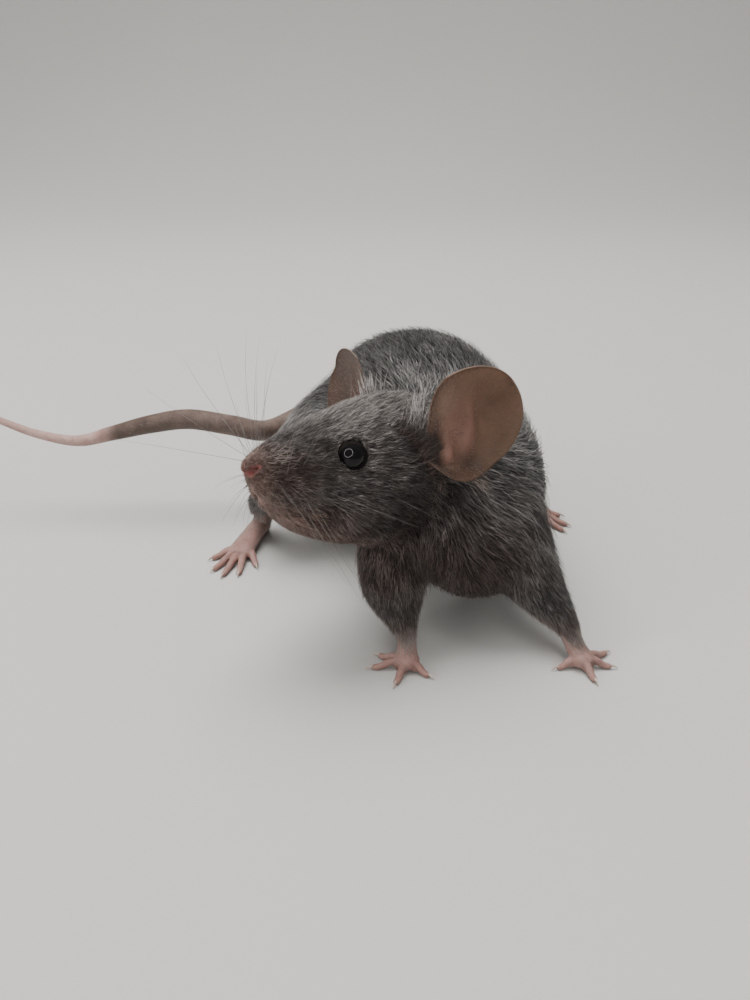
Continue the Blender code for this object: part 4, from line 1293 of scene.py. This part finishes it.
def pad_whiskers(finder, side, draw):
    """Five rows on a whisker pad. The last of the upper two rows would grow too near the eye."""
    tubes = []
    inward = Vector(HEAD_TURN @ np.array((0, -SIDES[side], 0)))
    for row, column in itertools.product(range(WHISKER_ROWS), range(WHISKER_COLUMNS)):
        if column == WHISKER_COLUMNS - 1 and row < 2:
            continue
        spot = Vector(from_head(mirrored(whisker_spot(row, column), side)))
        root = finder.ray_cast(spot, inward)[0]
        if root is None:
            continue
        length = (7.5 + 2.4 * column - 0.8 * row) * draw.uniform(0.8, 1.15)
        lean = np.array((0.25 - 0.17 * column, 0.75, WHISKER_RISE[row])) + draw.normal(0, 0.12, 3)
        way = unit(HEAD_TURN @ mirrored(lean, side))
        tubes.append(whisker(np.array(root) - way * 0.3, way, length, 0.022, 0.05 + 0.05 * row))
    return tubes


def whiskers(finder, draw):
    """Whiskers on both pads, over each eye and on each cheek, and the long ones on the far side."""
    tubes = []
    for side in SIDES:
        tubes += pad_whiskers(finder, side, draw)
        for place, lean, length in FACE_WHISKERS:
            way = unit(HEAD_TURN @ mirrored(lean, side))
            root = nearest_on(finder, mirrored(place, side))
            tubes.append(whisker(root - way * 0.3, way, length, 0.024, 0.1))
    root = nearest_on(finder, FAR_WHISKER_ROOT)
    for end in FAR_WHISKERS:
        run = placed(end) - root
        tubes.append(whisker(root, unit(run), np.linalg.norm(run), 0.026, 0.06))
    return closed_piece("whiskers", [rings for rings in tubes if not hides_eye(rings)])


# Materials

def node(tree, kind, **inputs):
    made = tree.nodes.new(kind)
    for name, value in inputs.items():
        made.inputs[name.replace("_", " ")].default_value = value
    return made


def feed(tree, socket, value):
    """Link a socket to the one before it, or set it to a plain value."""
    if isinstance(value, bpy.types.NodeSocket):
        tree.links.new(value, socket)
    else:
        socket.default_value = value


def mask_node(tree, name):
    made = tree.nodes.new("ShaderNodeAttribute")
    made.attribute_name = name
    return made.outputs["Fac"]


def object_place(tree):
    return tree.nodes.new("ShaderNodeTexCoord").outputs["Object"]


def mix_colours(tree, share, first, second):
    made = tree.nodes.new("ShaderNodeMix")
    made.data_type = "RGBA"
    for number, value in ((0, share), (6, first), (7, second)):
        feed(tree, made.inputs[number], value)
    return made.outputs[2]


def reckon(tree, operation, first, second, clamp=False):
    made = tree.nodes.new("ShaderNodeMath")
    made.operation = operation
    made.use_clamp = clamp
    feed(tree, made.inputs[0], first)
    feed(tree, made.inputs[1], second)
    return made.outputs[0]


def add_share(tree, value, mask, share):
    """The value with a share of the mask added."""
    return reckon(tree, "ADD", value, reckon(tree, "MULTIPLY", mask, share))


def noise(tree, place, scale, detail=3.0, roughness=0.55):
    made = node(tree, "ShaderNodeTexNoise", Scale=scale, Detail=detail, Roughness=roughness)
    tree.links.new(place, made.inputs["Vector"])
    return made.outputs["Fac"]


def cells(tree, place, scale, feature="F1"):
    """Distances in a pattern of cells: to the middle of each, or to its edge."""
    made = node(tree, "ShaderNodeTexVoronoi", Scale=scale)
    made.feature = feature
    tree.links.new(place, made.inputs["Vector"])
    return made.outputs["Distance"]


def ramp(tree, value, *stops):
    made = tree.nodes.new("ShaderNodeValToRGB")
    tree.links.new(value, made.inputs[0])
    elements = made.color_ramp.elements
    while len(elements) < len(stops):
        elements.new(0.5)
    for element, (position, colour) in zip(elements, stops):
        element.position = position
        element.color = (*colour, 1.0)
    return made.outputs[0]


def bump(tree, height, strength, reach):
    made = node(tree, "ShaderNodeBump", Strength=strength, Distance=reach * MM)
    tree.links.new(height, made.inputs["Height"])
    return made.outputs["Normal"]


def coat_colour_group():
    """Colour from the masks: grey, dark roots, silver tips; warm at lips, and at the throat partly painted
    light.
    """
    group = bpy.data.node_groups.new("coat_colour", "ShaderNodeTree")
    for name in ("pick", "along", *HAIR_MARKS):
        group.interface.new_socket(name, in_out="INPUT", socket_type="NodeSocketFloat")
    group.interface.new_socket("colour", in_out="OUTPUT", socket_type="NodeSocketColor")
    start = group.nodes.new("NodeGroupInput").outputs
    end = group.nodes.new("NodeGroupOutput").inputs
    place = object_place(group)
    patches = noise(group, place, 190.0, 2.5)
    tone = reckon(group, "MULTIPLY", start["pick"], 0.62)
    tone = add_share(group, tone, reckon(group, "SUBTRACT", patches, 0.18), 0.70)
    tone = add_share(group, tone, noise(group, place, 900.0, 2.0), 0.15)
    tone = add_share(group, tone, start["pale"], 0.22)
    # The dark mask darkens dark hair and also paints shade on the cheeks and chest
    tone = reckon(group, "SUBTRACT", tone, reckon(group, "MULTIPLY", start["dark"], 0.38), clamp=True)
    grey = ramp(group, tone, (0.22, (0.012, 0.011, 0.011)), (0.45, (0.034, 0.032, 0.032)),
                (0.68, (0.088, 0.085, 0.084)), (0.92, (0.30, 0.29, 0.28)))
    brown = ramp(group, tone, (0.2, (0.030, 0.018, 0.015)), (0.5, (0.098, 0.054, 0.044)),
                 (0.9, (0.36, 0.25, 0.215)))
    hair = mix_colours(group, start["warm"], grey, brown)
    root = mix_colours(group, 0.55, hair, (0.008, 0.007, 0.007, 1.0))
    silver = reckon(group, "MULTIPLY", start["pick"], 0.30)
    tip = mix_colours(group, silver, hair, (0.50, 0.49, 0.47, 1.0))
    past_root = reckon(group, "MULTIPLY", start["along"], 2.2, clamp=True)
    twice_along = reckon(group, "MULTIPLY", start["along"], 2.0)
    past_middle = reckon(group, "SUBTRACT", twice_along, 1.0, clamp=True)
    body = mix_colours(group, past_root, root, hair)
    group.links.new(mix_colours(group, past_middle, body, tip), end["colour"])
    return group


def principled(name, roughness, specular=0.5):
    material = bpy.data.materials.new(name)
    material.use_nodes = True
    shader = material.node_tree.nodes["Principled BSDF"]
    shader.inputs["Roughness"].default_value = roughness
    shader.inputs["Specular IOR Level"].default_value = specular
    return material, material.node_tree, shader


def speckled(name, roughness, specular, scale, detail, *stops):
    """A finish whose colour changes in small clouds over the piece."""
    material, tree, shader = principled(name, roughness, specular)
    cloud = noise(tree, object_place(tree), scale, detail)
    tree.links.new(ramp(tree, cloud, *stops), shader.inputs["Base Color"])
    return material, shader


def let_light_in(shader, weight, *radii):
    """Light that goes a little way under the surface, red furthest. Radii are in millimetres."""
    shader.inputs["Subsurface Weight"].default_value = weight
    shader.inputs["Subsurface Radius"].default_value = [radius * MM for radius in radii]
    shader.inputs["Subsurface Scale"].default_value = 1.0


def coat_colour(tree, group, *masks):
    """The coat's colour from the masks on a piece."""
    colour = tree.nodes.new("ShaderNodeGroup")
    colour.node_tree = group
    for name in (*masks, *HAIR_MARKS):
        tree.links.new(mask_node(tree, name), colour.inputs[name])
    return colour


def hair_material(group):
    material, tree, shader = principled("coat_hair", 0.48, 0.35)
    tree.links.new(coat_colour(tree, group, "pick", "along").outputs[0], shader.inputs["Base Color"])
    return material


def skin_material(group):
    """The skin under the coat, in the coat's own markings, and bare pink at the nose and lips."""
    material, tree, shader = principled("coat_skin", 0.7, 0.3)
    coated = coat_colour(tree, group)
    coated.inputs["pick"].default_value = 0.32
    coated.inputs["along"].default_value = 0.3
    place = object_place(tree)
    bare = mask_node(tree, "bare")
    blush = ramp(tree, noise(tree, place, 700.0, 3.0),
                 (0.35, (0.185, 0.042, 0.040)), (0.7, (0.28, 0.088, 0.080)))
    tree.links.new(mix_colours(tree, bare, coated.outputs[0], blush), shader.inputs["Base Color"])
    damp = reckon(tree, "SUBTRACT", 0.7, reckon(tree, "MULTIPLY", bare, 0.3))
    tree.links.new(damp, shader.inputs["Roughness"])
    grain = noise(tree, place, 2600.0, 4.0, 0.6)
    tree.links.new(bump(tree, grain, 0.5, 0.12), shader.inputs["Normal"])
    let_light_in(shader, 0.12, 1.2, 0.5, 0.4)
    return material


def ear_material():
    """Thin brown skin, pinker in the cup, with faint veins, painted shade, a patch of painted light and a
    pale rim of painted light.
    """
    material, tree, shader = principled("ear_skin", 0.55, 0.3)
    place = object_place(tree)
    cloud = noise(tree, place, 260.0, 4.0, 0.6)
    fine = noise(tree, place, 2400.0, 3.0, 0.6)
    brown = ramp(tree, cloud, (0.3, (0.066, 0.037, 0.023)), (0.7, (0.116, 0.068, 0.044)))
    pink = ramp(tree, cloud, (0.3, (0.150, 0.068, 0.050)), (0.7, (0.215, 0.108, 0.082)))
    outer = ramp(tree, cloud, (0.3, (0.034, 0.019, 0.013)), (0.7, (0.062, 0.037, 0.026)))
    colour = outer
    # The shade mask brings painted shade and the light mask a patch of painted light
    for mask, tint in (("inside", brown), ("cup", pink), ("light", (0.185, 0.125, 0.092, 1)),
                       ("shade", (0.022, 0.013, 0.010, 1))):
        colour = mix_colours(tree, mask_node(tree, mask), colour, tint)
    vein = reckon(tree, "SUBTRACT", 0.10, cells(tree, place, 230.0, "DISTANCE_TO_EDGE"), clamp=True)
    veined = reckon(tree, "MULTIPLY", vein, 1.2, clamp=True)
    colour = mix_colours(tree, veined, colour, (0.075, 0.035, 0.028, 1))
    # A pale band along the rim, painted light on the ear's edge
    off_rim = reckon(tree, "MULTIPLY", mask_node(tree, "edge"), 60.0)
    rim = reckon(tree, "MULTIPLY", reckon(tree, "SUBTRACT", 1.0, off_rim, clamp=True), 0.40)
    colour = mix_colours(tree, rim, colour, (0.27, 0.20, 0.155, 1))
    tree.links.new(colour, shader.inputs["Base Color"])
    tree.links.new(bump(tree, add_share(tree, fine, vein, 2.0), 0.25, 0.05), shader.inputs["Normal"])
    let_light_in(shader, 0.08, 1.0, 0.6, 0.4)
    shader.inputs["Sheen Weight"].default_value = 0.05
    return material


def eye_material():
    return speckled("eye_black", 0.03, 0.21, 900.0, 2.0,
                    (0.3, (0.0025, 0.0022, 0.0025)), (0.8, (0.006, 0.005, 0.0055)))[0]


def lid_material():
    return speckled("lid_skin", 0.7, 0.12, 1500.0, 3.0,
                    (0.3, (0.004, 0.003, 0.003)), (0.7, (0.010, 0.008, 0.007)))[0]


def paw_material():
    """Pale pink skin with fine creases, redder in them."""
    material, tree, shader = principled("paw_skin", 0.5, 0.4)
    place = object_place(tree)
    pink = ramp(tree, noise(tree, place, 420.0, 4.0, 0.6), (0.25, (0.20, 0.108, 0.092)),
                (0.6, (0.30, 0.188, 0.165)), (0.85, (0.38, 0.28, 0.255)))
    crease = cells(tree, place, 2600.0, "DISTANCE_TO_EDGE")
    line = reckon(tree, "SUBTRACT", 0.12, crease, clamp=True)
    creased = reckon(tree, "MULTIPLY", line, 3.0, clamp=True)
    colour = mix_colours(tree, creased, pink, (0.22, 0.105, 0.085, 1))
    tree.links.new(colour, shader.inputs["Base Color"])
    tree.links.new(bump(tree, crease, 0.35, 0.06), shader.inputs["Normal"])
    let_light_in(shader, 0.3, 1.4, 0.6, 0.4)
    return material


def claw_material():
    material, shader = speckled("claw_horn", 0.3, 0.5, 800.0, 2.0,
                                (0.3, (0.36, 0.28, 0.23)), (0.8, (0.52, 0.45, 0.40)))
    let_light_in(shader, 0.2, 0.6, 0.4, 0.3)
    return material


def tail_material():
    """Grey-brown near the body, darkest past its middle, then pink to the tip."""
    material, tree, shader = principled("tail_skin", 0.55, 0.4)
    place = object_place(tree)
    cloud = noise(tree, place, 500.0, 4.0, 0.6)
    near = ramp(tree, cloud, (0.3, (0.085, 0.060, 0.051)), (0.7, (0.155, 0.112, 0.094)))
    dark = ramp(tree, cloud, (0.3, (0.052, 0.034, 0.027)), (0.7, (0.100, 0.067, 0.053)))
    far = ramp(tree, cloud, (0.3, (0.30, 0.185, 0.160)), (0.7, (0.42, 0.290, 0.260)))
    along = mask_node(tree, "along")
    colour = near
    for start, steepness, tint in ((TAIL_DARKENS, 7.0, dark), (TAIL_PINKENS, 28.0, far)):
        past = reckon(tree, "MULTIPLY", reckon(tree, "SUBTRACT", along, start), steepness, clamp=True)
        colour = mix_colours(tree, past, colour, tint)
    tree.links.new(colour, shader.inputs["Base Color"])
    tree.links.new(bump(tree, cells(tree, place, 3000.0), 0.3, 0.05), shader.inputs["Normal"])
    let_light_in(shader, 0.12, 1.2, 0.5, 0.4)
    return material


def whisker_material():
    return speckled("whisker_horn", 0.35, 0.5, 220.0, 2.0,
                    (0.35, (0.030, 0.026, 0.024)), (0.65, (0.16, 0.145, 0.135)))[0]


# Floor, light and camera

FLOOR_HALF_WIDTH = 1600
FLOOR_FRONT = -1200
FLOOR_BACK = 350
FLOOR_CURVE = 600
FLOOR_TOP = 2000
LAMP_PLACE = Vector((-131.0, -227.0, 275.5))
LAMP_TARGET = Vector((17.6, -29.5, 28.0))
LAMP_RADIUS = 240
LAMP_THICKNESS = 8
CAMERA_TILT = math.radians(65)
LENS = 33.12
SENSOR = 36.0


def paper_floor():
    """A pale sheet that lies flat under the animal and curves up behind it."""
    profile = [(y, 0.0) for y in np.linspace(FLOOR_FRONT, FLOOR_BACK, 12)]
    for angle in np.linspace(0, math.pi / 2, 25)[1:]:
        profile.append((FLOOR_BACK + FLOOR_CURVE * math.sin(angle), FLOOR_CURVE * (1 - math.cos(angle))))
    profile += [(FLOOR_BACK + FLOOR_CURVE, z) for z in np.linspace(FLOOR_CURVE, FLOOR_TOP, 6)[1:]]
    points = [(x, y, z) for y, z in profile for x in (-FLOOR_HALF_WIDTH, FLOOR_HALF_WIDTH)]
    faces = [(2 * i, 2 * i + 1, 2 * i + 3, 2 * i + 2) for i in range(len(profile) - 1)]
    sheet = put_mesh("floor", points, faces)
    paper = speckled("floor_paper", 0.9, 0.15, 3.0, 2.0,
                     (0.2, (0.43, 0.422, 0.41)), (0.8, (0.46, 0.452, 0.44)))
    sheet.data.materials.append(paper[0])


def lamp_ring():
    """The glowing ring of the lamp, which shines in the eyes."""
    bpy.ops.mesh.primitive_torus_add(major_radius=LAMP_RADIUS * MM, minor_radius=LAMP_THICKNESS * MM,
                                     major_segments=40, minor_segments=5)
    ring = bpy.context.active_object
    ring.name = "lamp_ring"
    turn = (LAMP_TARGET - LAMP_PLACE).to_track_quat("-Z", "Y").to_matrix().to_4x4()
    ring.data.transform(Matrix.Translation(LAMP_PLACE * MM) @ turn)
    material, tree, shader = principled("lamp_glow", 0.5)
    glow = ramp(tree, noise(tree, object_place(tree), 2.0),
                (0.2, (1.0, 0.975, 0.94)), (0.8, (1.0, 0.985, 0.955)))
    tree.links.new(glow, shader.inputs["Emission Color"])
    shader.inputs["Emission Strength"].default_value = 27.0
    ring.data.materials.append(material)
    ring.visible_camera = False


def area_light(name, place, target, size, power, colour):
    """A round soft light. It leaves no glint in the eyes."""
    data = bpy.data.lights.new(name, "AREA")
    data.shape = "DISK"
    data.size = size * MM
    data.energy = power
    data.color = colour
    light = new_object(name, data)
    light.location = Vector(place) * MM
    light.rotation_euler = (Vector(target) - Vector(place)).to_track_quat("-Z", "Y").to_euler()
    light.visible_glossy = False


def lights():
    world = bpy.data.worlds.new("soft_room")
    world.use_nodes = True
    world.node_tree.nodes["Background"].inputs[0].default_value = (0.80, 0.80, 0.79, 1)
    world.node_tree.nodes["Background"].inputs[1].default_value = 0.40
    bpy.context.scene.world = world
    area_light("sky", (-50, 120, 500), (0, 0, 20), 450, 3.8, (1.0, 0.99, 0.97))
    area_light("wall", (0, 250, 1100), (0, 800, 500), 800, 6.0, (1.0, 0.99, 0.96))


def camera():
    data = bpy.data.cameras.new("camera")
    data.sensor_fit = "VERTICAL"
    data.sensor_height = SENSOR
    data.lens = LENS
    data.clip_start = 0.005
    made = new_object("camera", data)
    made.location = VIEWPOINT * MM
    made.rotation_euler = (CAMERA_TILT, 0, 0)
    bpy.context.scene.camera = made


# Putting it together

def finish(piece, nodes):
    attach(piece, "root")
    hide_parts(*nodes)


def dress_up(piece, material, nodes):
    piece.data.materials.append(material)
    finish(piece, nodes)


def dress_body(skin, finder, group, hair, draw):
    """The skin in its markings, and all the hair that grows on it."""
    for name, values in markings(mesh_points(skin), finder).items():
        point_mask(skin, name, values)
    unwrap(skin)
    dress_up(skin, skin_material(group), FLESH)
    for growth in (coat, guard_hairs, pad_bristles, ear_bunches):
        for piece in growth(skin, finder, hair, draw):
            finish(piece, FLESH)


def dress_ear(side, leaf_skin, hair, draw):
    leaf = ear(side)
    dress_up(leaf, leaf_skin, ("ear_" + side,))
    unwrap(leaf)
    for piece in ear_fuzz(leaf, side, hair, draw):
        finish(piece, ("ear_" + side,))


def dress_paw(make, side, node_name, pink, horn, hair, draw):
    paw, claws, above = make(side)
    dress_up(paw, pink, (node_name,))
    dress_up(claws, horn, (node_name,))
    unwrap(paw)
    for piece in paw_hair(paw, above, hair, draw):
        finish(piece, (node_name,))


def dress_tail(hair, draw):
    piece, rows = tail()
    dress_up(piece, tail_material(), TAIL_NODES)
    unwrap(piece)
    for hairs in tail_hair(piece, rows, hair, draw):
        finish(hairs, TAIL_NODES)


def dress():
    draw = np.random.default_rng(SEED)
    group = coat_colour_group()
    hair = hair_material(group)
    skin = body_skin()
    refine_face(skin)
    shape_face(skin)
    finder = nearest_finder(skin)
    dress_body(skin, finder, group, hair, draw)
    eye_black, lid_skin, leaf_skin, pink, horn = (make() for make in (
        eye_material, lid_material, ear_material, paw_material, claw_material))
    for side, (eye, lid) in zip(SIDES, eyes(finder)):
        dress_up(eye, eye_black, ("eye_" + side,))
        dress_up(lid, lid_skin, ("head",))
        dress_ear(side, leaf_skin, hair, draw)
        dress_paw(forepaw, side, "forepaw_" + side, pink, horn, hair, draw)
        dress_paw(hindpaw, side, "hindpaw_" + side, pink, horn, hair, draw)
    dress_tail(hair, draw)
    dress_up(whiskers(finder, draw), whisker_material(), ("head",))


dress()
paper_floor()
lamp_ring()
lights()
camera()
